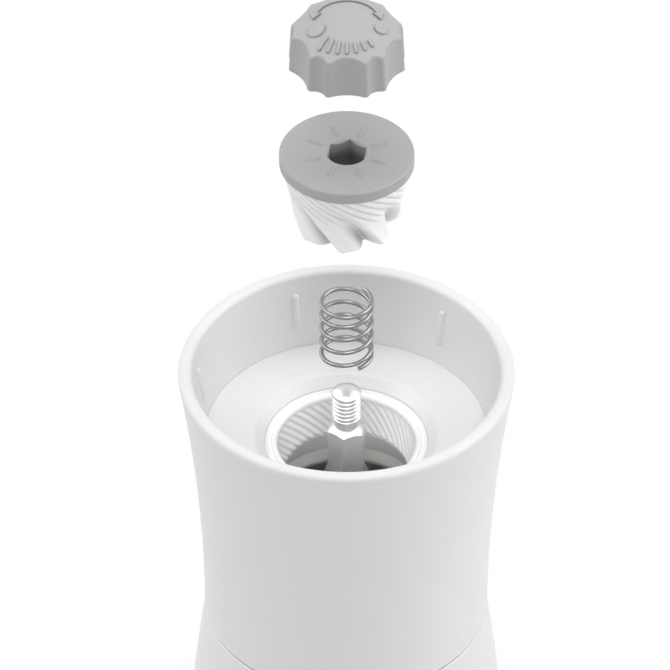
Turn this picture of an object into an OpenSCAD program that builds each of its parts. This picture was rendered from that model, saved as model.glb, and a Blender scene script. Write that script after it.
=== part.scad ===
// Pepper mill with its ceramic grinder at the top, laid open: the knob, the rotor and its spring
// stand in a stack above the mouth, on the axis on which they go back together.
// The lower half is the pepper cup. The upper half carries the stator and turns on the waist.
// Millimetres, +Z up, the origin is at the centre of the foot.

/* [Body] */
// Height of the lower half, from the table to the seam at the waist
base_h = 78; // [70:1:100]
// Height of the upper half, from the seam to the rim
upper_h = 62; // [60:1:80]
// Outer radius at the foot
foot_r = 34.5; // [34:0.5:38]
// Outer radius at the waist
waist_r = 29; // [29:0.5:32]
// Outer radius at the rim
rim_r = 34; // [33.5:0.5:37]
// Wall of both outer shells
shell_wall = 2.7; // [2.2:0.1:3]
// Radius of the rounded rim edges
rim_round = 1.2; // [0.6:0.1:1.4]
// Radius of the rounded edge at the foot
foot_round = 1.5; // [0.8:0.1:2]
// Open gap between the two halves
seam_gap = 0.4; // [0.3:0.05:0.6]

/* [Mouth] */
// Inner radius of the mouth at the rim
mouth_r = 31.1; // [30.5:0.1:31.2]
// Inner radius of the mouth at its floor
floor_r = 28.6; // [28.4:0.1:29]
// Depth of the floor below the rim
floor_depth = 16.8; // [15:0.1:18]
// Number of crush ribs round the mouth
rib_count = 6; // [3:1:12]
// Width of a crush rib
rib_w = 1.4; // [1:0.1:2]
// How far a crush rib stands out of the wall
rib_proud = 0.55; // [0.3:0.05:0.65]
// Depth of the top of a crush rib below the rim
rib_top = 4.2; // [3:0.1:6]
// Length of a crush rib
rib_l = 8.4; // [6:0.1:9]
// Direction of the first crush rib
rib_turn = 50; // [0:1:59]

/* [Mill plate] */
// Thickness of the plate
plate_t = 3; // [2:0.1:4]
// Radius of the shallow dish in the plate
dish_r = 18.3; // [18:0.1:19]
// Depth of the dish below the plate
dish_depth = 1.7; // [1:0.1:2]
// Wall of the tube that holds the stator
tube_wall = 1.7; // [1.4:0.1:2.2]
// Radius of the circle on which the three screws stand
screw_ring_r = 21.8; // [21.6:0.1:22]
// Radius of a screw boss
boss_r = 2.8; // [2.4:0.1:3]
// Thread radius of every screw
screw_r = 1.25; // [1:0.05:1.5]
// Head radius of every screw
head_r = 2.4; // [2:0.1:2.6]
// Height of a screw head
head_h = 1.6; // [1:0.1:2]
// Length of a screw below its head
screw_l = 10; // [9:0.5:12]

/* [Stator] */
// Outer radius of the ceramic ring
stator_r = 16.4; // [16:0.1:16.6]
// Depth of its top below the rim
stator_depth = 18.7; // [18.5:0.1:19.5]
// Height of the ring
stator_h = 9.4; // [9:0.1:10]
// Radius of the flange at its foot
stator_flange_r = 17.9; // [17.4:0.1:18]
// Height of that flange
stator_flange_h = 2.8; // [2:0.1:3.2]
// Radius at the root of its teeth, at the top
stator_top_r = 13.9; // [13.8:0.1:14.2]
// Radius at the root of its teeth, at the throat
stator_throat_r = 12.4; // [12.3:0.1:12.8]
// Depth of the throat below the top of the ring
stator_throat_depth = 8; // [7:0.1:9]
// Radius of its open foot
stator_foot_r = 12.9; // [12.6:0.1:13.2]
// Number of fine teeth in the ring
stator_teeth = 45; // [36:1:50]
// Depth of a tooth
stator_tooth = 0.5; // [0.3:0.05:0.6]
// Slant of the teeth, in degrees for each millimetre of height
stator_twist = 4; // [2:0.1:5]

/* [Rotor] */
// Height of the ceramic cone under its cap
rotor_h = 15.2; // [14:0.1:16]
// Radius of the cone under the cap
rotor_top_r = 13; // [12.5:0.1:13.2]
// Radius of the cone where the fine teeth end
rotor_mid_r = 11.2; // [10.8:0.1:11.5]
// Radius of the cone across its lobes at the bottom
rotor_bottom_r = 10.1; // [9.8:0.1:10.4]
// Height of the finely toothed part
rotor_fine_h = 8; // [7:0.1:9]
// Number of fine teeth
rotor_teeth = 28; // [21:7:35]
// Depth of a fine tooth
rotor_tooth = 0.45; // [0.3:0.05:0.5]
// Number of large lobes
rotor_lobes = 7; // [6:1:7]
// Depth of the valleys between the lobes
valley_depth = 2.6; // [1.5:0.1:2.9]
// Direction of the crest of a lobe at the bottom
lobe_turn = -95; // [-180:1:180]
// How much steeper a lobe is on its leading side
lobe_skew = 0.6; // [0:0.1:0.9]
// Slant of the lobes and teeth, in degrees for each millimetre of height
rotor_twist = 5.6; // [3:0.1:7]
// Radius of the spring's chamber in the cone
chamber_r = 5.8; // [5.6:0.1:5.9]
// Radius of the cap
cap_r = 13.3; // [13.2:0.1:14]
// Thickness of the cap
cap_t = 2.6; // [2:0.1:3]
// Radius of the cap's rounded edge
cap_round = 0.6; // [0.3:0.1:1.4]
// Depth of the countersink in the cap's hole
cap_sink = 0.7; // [0.4:0.1:1]
// Number of radial marks on the cap
mark_count = 8; // [4:1:12]
// Radius at which a mark starts
mark_r0 = 5.2; // [5:0.1:6]
// Radius at which a mark ends
mark_r1 = 8.3; // [7:0.1:10]
// Width of a mark
mark_w = 0.5; // [0.3:0.05:0.8]
// Height of a mark
mark_h = 0.25; // [0.15:0.05:0.4]
// Direction of the first mark
mark_turn = 19; // [0:1:44]
// Height of the rotor's lower edge over the spring's seat, put together
rotor_over_seat = 1.5; // [1.3:0.1:2]

/* [Shaft] */
// Width of the hexagonal shaft across its flats
hex_af = 7; // [6.8:0.1:7.2]
// Direction of one of its corners
hex_turn = 21; // [0:0.5:59.5]
// Depth of the rounded tip below the rim
tip_depth = 4.9; // [4.7:0.1:5.2]
// Outer radius of the adjusting thread
thread_r = 3; // [2.8:0.05:3]
// Length of the threaded end, with its tip
thread_l = 7.6; // [7:0.1:8]
// Radius of the neck under the thread
neck_r = 2.4; // [2.2:0.1:2.6]
// Length of the neck
neck_l = 2; // [1.5:0.1:2.2]
// Height of the cone from the neck to the flats
shoulder_h = 0.9; // [0.6:0.1:1]
// Height of the rounding of its tip
tip_dome = 1.2; // [0.8:0.1:1.5]
// Chamfer at its lower end
shaft_chamfer = 0.8; // [0.4:0.1:1]
// Radius left in the clip's groove
groove_r = 3.05; // [2.9:0.05:3.2]
// Thickness of the retaining clip
clip_t = 0.9; // [0.6:0.1:1.2]
// Outer radius of the retaining clip
clip_r = 6.5; // [6:0.1:7]
// Outer radius of the thrust washer
washer_r = 8; // [7:0.1:8.5]
// Thickness of the thrust washer
washer_t = 0.8; // [0.5:0.1:1.2]

/* [Spring] */
// Mean radius of the coil
coil_r = 5; // [4.9:0.05:5.1]
// Diameter of the wire
wire_d = 0.9; // [0.7:0.05:1]
// Free length of the spring
spring_l = 15; // [14:0.5:16]
// Number of turns
spring_turns = 5.3; // [4.5:0.1:6]
// Turns that lie closed at each end
closed_turns = 0.75; // [0.5:0.05:1]
// Direction of the lower end of the wire
tail_turn = -62; // [-180:1:180]
// Length of the spring when the mill is set fine
spring_set_l = 10; // [9.5:0.1:10.5]

/* [Bearing] */
// Depth of the spring's seat below the rim
seat_depth = 33.9; // [33.5:0.1:34.5]
// Inner radius of the spider's collar under the stator
collar_r = 13.5; // [13.3:0.1:14]
// Outer radius of the spider's hub
hub_r = 8; // [7.6:0.1:8.4]
// Height of the spider's hub
hub_h = 7.4; // [6:0.1:9]
// Radius of the bush that turns in the hub
bush_r = 5.5; // [5.2:0.1:5.8]
// Radius of the bush's flange, on which the spring stands
bush_flange_r = 7.4; // [7:0.1:7.8]
// Thickness of the bush's flange
bush_flange_t = 0.9; // [0.8:0.1:1.2]
// Thickness of the spider's ring
spider_t = 3; // [2.5:0.1:4]
// Inner radius of the spider's ring
spider_r = 15.5; // [15:0.1:16]
// Width of an arm along its ridge
arm_w = 3.4; // [2.5:0.1:4]
// Width of a spider arm at its foot
arm_foot_w = 9; // [5:0.5:11]
// Height of an arm
arm_h = 5; // [4:0.1:6]
// Height of the spider's arms above the spring's seat
arm_rise = 0.8; // [0.2:0.1:1]
// Direction of the first arm and screw
arm_turn = 90; // [0:1:119]
// Wall of the grain funnel
funnel_wall = 1.4; // [1.2:0.1:1.8]
// Gap between the funnel and the turning sleeve
funnel_foot_gap = 1.6; // [0.5:0.1:3]
// Thickness of the funnel's flange
funnel_flange_t = 1.5; // [1.2:0.1:2]
// Gap between the funnel's wide end and the shell
funnel_gap = 0.3; // [0.2:0.05:0.6]

/* [Knob] */
// Radius of the knob across its ridges
knob_r = 11.8; // [11.5:0.1:12.2]
// Height of its fluted side
knob_side_h = 7.2; // [7:0.1:8]
// Height of its dome above the side
knob_dome_h = 4.3; // [4.2:0.1:5]
// Radius of the rounded edge between the dome and the side
knob_round = 1.4; // [0.8:0.1:1.8]
// Number of wide flutes, with as many narrow ones between them
flute_count = 6; // [5:1:6]
// Radius of a wide flute
wide_flute_r = 9; // [8:0.1:10]
// Depth of a wide flute
wide_flute_depth = 1.55; // [1:0.05:1.6]
// Radius of a narrow flute
narrow_flute_r = 3.6; // [3:0.1:4]
// Depth of a narrow flute
narrow_flute_depth = 0.9; // [0.5:0.05:1]
// Draft of the knob's side, in degrees
knob_draft = 3; // [0:0.5:4]
// Depth of the insert's flange in the knob
insert_inset = 0.2; // [0.1:0.1:0.4]
// Room over the insert and round the shaft's tip
tip_gap = 0.4; // [0.3:0.1:0.6]
// Radius of the threaded insert
insert_r = 5; // [4.6:0.1:5.2]
// Height of the threaded insert
insert_h = 7.5; // [7:0.1:7.6]
// Radius of the insert's flange
insert_flange_r = 6.2; // [6:0.1:6.4]
// Thickness of the insert's flange
insert_flange_t = 1.2; // [0.8:0.1:1.5]
// Outer radius of the knob's boss round the insert
knob_boss_r = 7.2; // [7:0.1:7.4]
// Outer radius of the hollow round the boss
knob_hollow_r = 8.9; // [8.5:0.1:9]
// Height of that hollow
knob_hollow_h = 6.5; // [5:0.1:7]

/* [Base] */
// Height of the gap under the outer shell, over which the foot ring stands
foot_gap = 0.5; // [0.3:0.1:1]
// Thickness of the base plate
base_plate_t = 2.4; // [2:0.1:3]
// Height of the base plate above the lower edge of the shell
plate_inset = 0.7; // [0.4:0.1:1.2]
// Height of the rib in the shell that holds the base plate down
plate_stop_h = 1.6; // [1:0.1:2.4]
// How far that rib stands in from the shell
plate_stop_w = 1.2; // [0.8:0.1:1.6]
// Distance of the rubber foot ring from the shell
foot_ring_inset = 2.5; // [2:0.1:5]
// Width of the rubber foot ring
foot_ring_w = 2.6; // [2:0.1:4]
// Height of the rubber foot ring
foot_ring_h = 2.4; // [2:0.1:2.6]
// Wall of the pepper cup
cup_wall = 1.4; // [1.2:0.1:2]
// Gap between the pepper cup's foot and the shell
cup_foot_gap = 1.35; // [0.3:0.05:3]
// Gap between the pepper cup's mouth and the shell
cup_mouth_gap = 0.3; // [0.25:0.05:0.5]
// Height of the ring on the base plate on which the cup stands
cup_seat_h = 2.9; // [2.5:0.1:3.5]
// Width of that ring
cup_seat_w = 1.5; // [1:0.1:2]
// Distance of that ring from the outside of the cup's foot
cup_seat_inset = 5.5; // [4:0.1:8]
// Height of the spigot that stands above the seam
spigot_h = 10; // [8:0.5:11]
// Outer radius of the spigot
spigot_r = 24.65; // [24.4:0.05:24.8]
// Bore of the spigot
spigot_bore_r = 21.5; // [21:0.1:21.8]
// Diameter of the sealing ring's cord
seal_d = 1.3; // [1:0.1:1.5]
// Height of the coupling's flange under the seam
coupling_h = 3.8; // [3.4:0.1:4.5]
// Thickness of the ledge in the shell that carries the coupling
coupling_ledge_t = 2; // [1.5:0.1:2.5]
// Width of that ledge
coupling_ledge_w = 1.6; // [1.2:0.1:2]
// Thickness of the drive bridge's ring
bridge_t = 2.5; // [2:0.1:3]
// Radius of the drive bridge's hub
socket_hub_r = 7; // [6.5:0.1:8]
// Depth of the hexagonal socket
socket_depth = 7.2; // [6:0.1:9]
// Thickness of the socket's floor
socket_floor_t = 2; // [1.5:0.1:3]
// Gap between the base plate and the shell
base_plate_gap = 0.25; // [0.1:0.05:0.4]

/* [Clearances] */
// Radial running clearance of a round bearing
run_gap = 0.06; // [0.04:0.01:0.1]
// Radial clearance of a part that is fixed in another
fit_gap = 0.08; // [0.05:0.01:0.12]
// Clearance of the hexagonal shaft in its holes, on each flat
hex_gap = 0.1; // [0.08:0.01:0.15]
// How far the turning sleeve reaches above the spigot
sleeve_rise = 1.5; // [0.5:0.1:3]
// Gap between the turning sleeve and the spigot
sleeve_gap = 0.15; // [0.12:0.01:0.2]
// Gap that is left where a lifted piece comes back to its seat
seat_gap = 0.1; // [0.05:0.01:0.2]

/* [Laid open] */
// How far the spring stands above its seat
spring_lift = 37.2; // [35:0.1:45]
// How far the rotor stands above its working place
rotor_lift = 70.2; // [65:0.1:80]
// How far the knob stands above its working place
knob_lift = 91.8; // [88:0.1:110]

/* [Hidden] */
$fn = 96;
arc_fn = 720;
eps = 0.01;
seam_z = base_h;
rim_z = base_h + upper_h;
// the flared shells follow one arc each, upright at the waist of the upper and at the foot of the lower
upper_arc_r = (upper_h^2 + (rim_r - waist_r)^2) / (2 * (rim_r - waist_r));
base_arc_r = (base_h^2 + (foot_r - waist_r)^2) / (2 * (foot_r - waist_r));
function upper_r(z) = waist_r + upper_arc_r - sqrt(upper_arc_r^2 - (z - seam_z)^2);
function base_r(z) = foot_r - base_arc_r + sqrt(base_arc_r^2 - z^2);

// how far the outside and the inside lean out at the rim, in degrees
rim_lean = asin(upper_h / upper_arc_r);
mouth_taper = atan2(mouth_r - floor_r, floor_depth);
floor_z = rim_z - floor_depth;
plate_r = floor_r - fit_gap;
plate_z = floor_z - plate_t;
ledge_h = 2.4;
ledge_w = 2;
stator_z = rim_z - stator_depth;
stator_foot_z = stator_z - stator_h;
tube_r = stator_flange_r + fit_gap + tube_wall;
seat_z = rim_z - seat_depth;
spider_z = seat_z - spider_t;
bush_bottom_z = seat_z - bush_flange_t - hub_h - seat_gap;
washer_z = bush_bottom_z - washer_t;
clip_z = washer_z - clip_t;
funnel_z = spider_z - funnel_flange_t;
sleeve_z = seam_z + seam_gap + fit_gap;
sleeve_r0 = spigot_r + sleeve_gap;
sleeve_r1 = waist_r - shell_wall - fit_gap;
sleeve_h = spigot_h + sleeve_rise;
funnel_h = funnel_z - sleeve_z - sleeve_h - funnel_foot_gap;

tip_z = rim_z - tip_depth;
thread_z = tip_z - thread_l;
neck_z = thread_z - neck_l;
hex_top_z = neck_z - shoulder_h;
hex_r = hex_af / 2 / cos(30);
coupling_z = seam_z - coupling_h;
bridge_z = coupling_z - bridge_t;
socket_z = coupling_z - socket_depth;
shaft_foot_z = socket_z + seat_gap;
// the screws stand between the spigot's bore and the edge of the coupling's flange
coupling_r = waist_r - shell_wall - fit_gap;
bridge_screw_ring_r = spigot_bore_r + 0.4 * (coupling_r - spigot_bore_r);
bridge_screw_l = bridge_t + 0.8 * coupling_h;
ledge_r = base_r(coupling_z) - shell_wall - coupling_ledge_w;
bridge_r = ledge_r - fit_gap;

rotor_z = seat_z + rotor_over_seat + rotor_lift;
cap_z = rotor_z + rotor_h;
chamber_h = spring_set_l - rotor_over_seat;
spring_z = seat_z + spring_lift;
knob_z = cap_z + cap_t + mark_h + seat_gap + knob_lift - rotor_lift;
insert_z = knob_z + insert_inset;
insert_bore_r = thread_r + run_gap;
tip_room_z = tip_z + knob_lift + tip_gap;

plate_bottom_z = foot_gap + plate_inset;
plate_top_z = plate_bottom_z + base_plate_t;
foot_ring_r1 = foot_r - shell_wall - foot_ring_inset;
foot_ring_r0 = foot_ring_r1 - foot_ring_w;
cup_z = plate_top_z + cup_seat_h;
// the cup ends under the heads of the bridge's screws
cup_top_z = bridge_z - head_h - 2 * fit_gap;
cup_foot_r = base_r(cup_z) - shell_wall - cup_foot_gap;
cup_mouth_r = base_r(cup_top_z) - shell_wall - cup_mouth_gap;
seal_z = seam_z + 0.6 * spigot_h;

// ---- shared shapes ----

// A flat ring or a tube from z to z + h
module tube(r0, r1, z, h) {
    translate([0, 0, z])
        rotate_extrude()
            translate([r0, 0])
                square([r1 - r0, h]);
}

// Copies its children to n places, evenly round the axis
module around(n, turn = 0) {
    for (k = [0 : n - 1])
        rotate(turn + k * 360 / n)
            children();
}

// A hexagonal bar across its flats af, in line with the shaft
module hex_bar(af, z, h) {
    translate([0, 0, z])
        rotate(hex_turn)
            cylinder(h = h, r = af / 2 / cos(30), $fn = 6);
}

// What a rounded corner loses: the corner is at [x, z], sx and sz point out of the solid, and the
// upright side leans out by lean degrees on its way to the corner
module corner_loss(x, z, r, sx, sz, lean = 0) {
    inset = r * (1 + sin(lean)) / cos(lean);
    translate([x, z])
        scale([sx, sz])
            difference() {
                polygon([
                    [-inset, -r],
                    [-inset, 1],
                    [1, 1],
                    [1, -r * (1 + sin(lean))],
                    [r * cos(lean) - inset, -r * (1 + sin(lean))]
                ]);
                translate([-inset, -r])
                    circle(r, $fn = 48);
            }
}

// Three screws that point up, heads below, in one node
module screws(ring_r, head_top_z, l) {
    around(3, arm_turn)
        translate([ring_r, 0, head_top_z]) {
            difference() {
                translate([0, 0, -head_h])
                    cylinder(h = head_h, r = head_r, $fn = 32);
                translate([0, 0, -head_h - eps])
                    cylinder(h = head_h / 2, r = head_r / 2, $fn = 6);
            }
            translate([0, 0, -eps])
                cylinder(h = l, r = screw_r, $fn = 32);
        }
}

// A closed ring made of rows of points: rows[j] is [turn, points], where points holds the
// [radius, height] of each column. The columns of the last row, which may be turned, meet those
// of the first row that lie nearest.
module lofted_ring(rows, columns) {
    n = len(rows);
    shift = round((rows[n - 1][0] - rows[0][0]) * columns / 360);
    points = [
        for (j = [0 : n - 1], i = [0 : columns - 1])
            let (a = i * 360 / columns + rows[j][0], p = rows[j][1][i])
                [p[0] * cos(a), p[0] * sin(a), p[1]]
    ];
    function index(j, i) =
        let (k = j < n ? i : i + shift)
            (j % n) * columns + (k % columns + columns) % columns;
    faces = [
        for (j = [0 : n - 1], i = [0 : columns - 1])
            let (
                a = index(j, i),
                b = index(j, i + 1),
                c = index(j + 1, i + 1),
                d = index(j + 1, i)
            )
                each [[a, b, c], [a, c, d]]
    ];
    polyhedron(points, faces);
}

// ---- lower half ----

module foot_ring() {
    color("dimgray")
        tube(foot_ring_r0, foot_ring_r1, 0, foot_ring_h);
}

module base_plate() {
    r = base_r(plate_top_z) - shell_wall - base_plate_gap;
    seat_r = cup_foot_r - cup_seat_inset;
    groove_h = foot_ring_h - plate_bottom_z;
    color("gainsboro") {
        difference() {
            translate([0, 0, plate_bottom_z])
                cylinder(h = base_plate_t, r = r);
            tube(foot_ring_r0 - fit_gap, foot_ring_r1 + fit_gap, plate_bottom_z - eps, groove_h + eps);
        }
        tube(seat_r - cup_seat_w, seat_r, plate_top_z - eps, cup_z - plate_top_z + eps);
    }
}

module base_shell() {
    ledge_z = coupling_z - coupling_ledge_t;
    color("whitesmoke")
        rotate_extrude() {
            difference() {
                intersection() {
                    translate([0, foot_gap])
                        square([foot_r + 1, seam_z - foot_gap]);
                    translate([foot_r - base_arc_r, 0])
                        circle(base_arc_r, $fn = arc_fn);
                }
                intersection() {
                    square([foot_r, seam_z + 1]);
                    translate([foot_r - base_arc_r, 0])
                        circle(base_arc_r - shell_wall, $fn = arc_fn);
                }
                corner_loss(base_r(foot_gap), foot_gap, foot_round, 1, -1);
            }
            translate([ledge_r, ledge_z])
                square([2 * coupling_ledge_w, coupling_ledge_t]);
            translate([base_r(plate_top_z) - shell_wall - plate_stop_w, plate_top_z])
                square([2 * plate_stop_w, plate_stop_h]);
        }
}

module pepper_cup() {
    color("lightgray")
        difference() {
            translate([0, 0, cup_z])
                cylinder(h = cup_top_z - cup_z, r1 = cup_foot_r, r2 = cup_mouth_r);
            translate([0, 0, cup_z + cup_wall])
                cylinder(
                    h = cup_top_z - cup_z,
                    r1 = cup_foot_r - cup_wall,
                    r2 = cup_mouth_r - cup_wall
                );
        }
}

module drive_bridge() {
    color("silver")
        difference() {
            union() {
                tube(spigot_bore_r, bridge_r, bridge_z, bridge_t);
                translate([0, 0, socket_z - socket_floor_t])
                    cylinder(h = coupling_z - socket_z + socket_floor_t, r = socket_hub_r);
                around(3, arm_turn)
                    translate([socket_hub_r - 1, -arm_w / 2, coupling_z - arm_h])
                        cube([spigot_bore_r - socket_hub_r + 2, arm_w, arm_h]);
            }
            hex_bar(hex_af + 2 * hex_gap, socket_z, socket_depth + 1);
            around(3, arm_turn)
                translate([bridge_screw_ring_r, 0, bridge_z - bridge_t])
                    cylinder(h = 3 * bridge_t, r = screw_r + fit_gap, $fn = 32);
            // the arms stop short of the screw heads
            tube(bridge_screw_ring_r - head_r - 2 * fit_gap, 2 * bridge_r, bridge_z - arm_h, arm_h);
        }
}

module bridge_screws() {
    color("silver")
        screws(bridge_screw_ring_r, bridge_z, bridge_screw_l);
}

module coupling_ring() {
    color("lightgray")
        difference() {
            union() {
                tube(spigot_bore_r, coupling_r, coupling_z, coupling_h - seat_gap);
                tube(spigot_bore_r, spigot_r, coupling_z, coupling_h + spigot_h);
            }
            tube(spigot_r - seal_d + fit_gap, spigot_r + 1, seal_z - 0.6 * seal_d, 1.2 * seal_d);
            around(3, arm_turn)
                translate([bridge_screw_ring_r, 0, coupling_z - eps])
                    cylinder(h = bridge_screw_l - bridge_t + 2 * fit_gap, r = screw_r, $fn = 32);
        }
}

module neck_seal() {
    color("dimgray")
        translate([0, 0, seal_z])
            rotate_extrude()
                translate([spigot_r - seal_d / 2 + fit_gap, 0])
                    circle(d = seal_d, $fn = 32);
}

// ---- shaft ----

module drive_shaft() {
    tip_ball_r = (thread_r^2 + tip_dome^2) / (2 * tip_dome);
    color("silver")
        difference() {
            union() {
                intersection() {
                    hex_bar(hex_af, shaft_foot_z, hex_top_z + shoulder_h - shaft_foot_z);
                    rotate_extrude()
                        polygon([
                            [0, shaft_foot_z],
                            [hex_r - shaft_chamfer, shaft_foot_z],
                            [hex_r + eps, shaft_foot_z + shaft_chamfer],
                            [hex_r + eps, hex_top_z],
                            [neck_r, hex_top_z + shoulder_h],
                            [0, hex_top_z + shoulder_h]
                        ]);
                }
                translate([0, 0, neck_z - eps])
                    cylinder(h = neck_l + 2 * eps, r = neck_r);
                translate([0, 0, thread_z])
                    cylinder(h = thread_l - tip_dome, r = thread_r);
                // rounded tip: a ball cut to the thread's radius
                intersection() {
                    translate([0, 0, tip_z - tip_dome - eps])
                        cylinder(h = tip_dome + eps, r = thread_r);
                    translate([0, 0, tip_z - tip_ball_r])
                        sphere(r = tip_ball_r);
                }
            }
            tube(groove_r, hex_r + 1, clip_z - seat_gap / 2, clip_t + seat_gap);
        }
}

module hub_bush() {
    color("gainsboro")
        difference() {
            union() {
                translate([0, 0, seat_z - bush_flange_t])
                    cylinder(h = bush_flange_t, r = bush_flange_r);
                translate([0, 0, bush_bottom_z])
                    cylinder(h = seat_z - bush_bottom_z - eps, r = bush_r);
            }
            hex_bar(hex_af + 2 * hex_gap, bush_bottom_z - 1, seat_z - bush_bottom_z + 2);
        }
}

module thrust_washer() {
    color("silver")
        tube(hex_r + fit_gap, washer_r, washer_z, washer_t);
}

module shaft_clip() {
    opening = 1.7 * groove_r;
    color("silver")
        difference() {
            tube(groove_r, clip_r, clip_z, clip_t);
            rotate(arm_turn)
                translate([0, -opening / 2, clip_z - 1])
                    cube([clip_r + 1, opening, clip_t + 2]);
        }
}

// ---- upper half ----

module housing_shell() {
    color("whitesmoke") {
        rotate_extrude()
            difference() {
                translate([0, seam_z + seam_gap])
                    square([rim_r + 1, upper_h - seam_gap]);
                translate([waist_r + upper_arc_r, seam_z])
                    circle(upper_arc_r, $fn = arc_fn);
                // the mouth, down to the ledge that carries the mill plate
                polygon([
                    [0, rim_z + 1],
                    [mouth_r, rim_z + 1],
                    [mouth_r, rim_z],
                    [floor_r, floor_z],
                    [floor_r, plate_z],
                    [0, plate_z]
                ]);
                // the room below the ledge, parallel to the outside
                difference() {
                    square([rim_r, plate_z - ledge_h]);
                    translate([waist_r + upper_arc_r, seam_z])
                        circle(upper_arc_r + shell_wall, $fn = arc_fn);
                }
                translate([0, plate_z - ledge_h - 1])
                    square([floor_r - ledge_w, ledge_h + 2]);
                corner_loss(rim_r, rim_z, rim_round, 1, 1, rim_lean);
                corner_loss(mouth_r, rim_z, rim_round, -1, 1, -mouth_taper);
            }
        around(rib_count, rib_turn)
            crush_rib();
    }
}

// A rib on the tapered mouth wall, for a cap to grip
module crush_rib() {
    rib_r = rib_w / 2;
    wall_r = mouth_r - (rib_top + rib_r) * tan(mouth_taper);
    translate([wall_r - rib_proud + rib_r, 0, rim_z - rib_top - rib_r])
        rotate([0, 180 + mouth_taper, 0]) {
            sphere(r = rib_r, $fn = 24);
            cylinder(h = rib_l - 2 * rib_r, r = rib_r, $fn = 24);
            translate([0, 0, rib_l - 2 * rib_r])
                sphere(r = rib_r, $fn = 24);
        }
}

module mill_plate() {
    bore_r = stator_r + fit_gap;
    step_z = floor_z - dish_depth;
    flange_z = stator_foot_z + stator_flange_h + fit_gap;
    color("gainsboro")
        difference() {
            union() {
                rotate_extrude()
                    polygon([
                        [bore_r, step_z],
                        [dish_r - 0.5, step_z],
                        [dish_r, floor_z],
                        [plate_r, floor_z],
                        [plate_r, plate_z],
                        [tube_r, plate_z],
                        [tube_r, seat_z],
                        [stator_flange_r + fit_gap, seat_z],
                        [stator_flange_r + fit_gap, flange_z],
                        [bore_r, flange_z]
                    ]);
                around(3, arm_turn)
                    translate([screw_ring_r, 0, seat_z])
                        cylinder(h = plate_z - seat_z + eps, r = boss_r, $fn = 32);
            }
            around(3, arm_turn)
                translate([screw_ring_r, 0, seat_z - eps])
                    cylinder(h = screw_l, r = screw_r, $fn = 32);
        }
}

module stator_ring() {
    per_tooth = 4;
    columns = per_tooth * stator_teeth;
    steps = 4;
    edge = 0.5;
    lip = 1.2;
    throat_z = stator_z - stator_throat_depth;
    tooth_top_z = stator_z - lip;
    // the columns follow the slant, so each tooth keeps its own four
    function slant(z) = stator_twist * (z - tooth_top_z);
    function tooth(i) = abs((i / per_tooth) % 1 * 2 - 1);
    function plain(r, z, turn = 0) = [turn, [for (i = [1 : columns]) [r, z]]];
    function toothed(f) =
        let (
            z = tooth_top_z + f * (throat_z - tooth_top_z),
            r = stator_top_r + f * (stator_throat_r - stator_top_r)
        )
            [slant(z), [for (i = [1 : columns]) [r - stator_tooth * tooth(i), z]]];
    rows = [
        for (k = [0 : steps]) toothed(k / steps),
        plain(stator_foot_r, stator_foot_z, slant(throat_z)),
        plain(stator_flange_r, stator_foot_z, slant(throat_z)),
        plain(stator_flange_r, stator_foot_z + stator_flange_h, slant(throat_z)),
        plain(stator_r, stator_foot_z + stator_flange_h, slant(throat_z)),
        plain(stator_r, stator_z - edge, slant(throat_z)),
        plain(stator_r - edge, stator_z, slant(throat_z)),
        plain(stator_top_r + lip, stator_z, slant(throat_z)),
        plain(stator_top_r + lip / 4, stator_z - lip / 3, slant(throat_z))
    ];
    color("white")
        lofted_ring(rows, columns);
}

// One arm of the spider: a web with a narrow ridge and a wide foot
module spider_arm() {
    ridge_z = seat_z + arm_rise;
    foot_z = seat_z - bush_flange_t - arm_h;
    translate([hub_r - 1, 0, 0])
        rotate([90, 0, 90])
            linear_extrude(spider_r - hub_r + 2)
                polygon([
                    [-arm_foot_w / 2, foot_z],
                    [arm_foot_w / 2, foot_z],
                    [arm_w / 2, ridge_z],
                    [-arm_w / 2, ridge_z]
                ]);
}

module bearing_spider() {
    hub_z = seat_z - bush_flange_t - hub_h;
    color("darkgray")
        difference() {
            union() {
                tube(spider_r, tube_r, spider_z, spider_t);
                // the collar that holds the stator up, wider towards its foot
                rotate_extrude()
                    polygon([
                        [spider_r, seat_z - eps],
                        [stator_flange_r, seat_z - eps],
                        [stator_flange_r, stator_foot_z],
                        [collar_r, stator_foot_z]
                    ]);
                translate([0, 0, hub_z])
                    cylinder(h = hub_h, r = hub_r);
                around(3, arm_turn) {
                    spider_arm();
                    translate([screw_ring_r, 0, spider_z])
                        cylinder(h = spider_t, r = boss_r, $fn = 32);
                }
            }
            translate([0, 0, hub_z - 1])
                cylinder(h = hub_h + 2, r = bush_r + run_gap);
            // room for the bush's flange and the spring round it
            translate([0, 0, seat_z - bush_flange_t])
                cylinder(h = bush_flange_t + 2 * arm_rise, r = bush_flange_r + run_gap);
            tube(spider_r + 0.5, 2 * tube_r, spider_z - hub_h, hub_h);
            around(3, arm_turn)
                translate([screw_ring_r, 0, spider_z - 1])
                    cylinder(h = spider_t + 2, r = screw_r + fit_gap, $fn = 32);
        }
}

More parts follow.
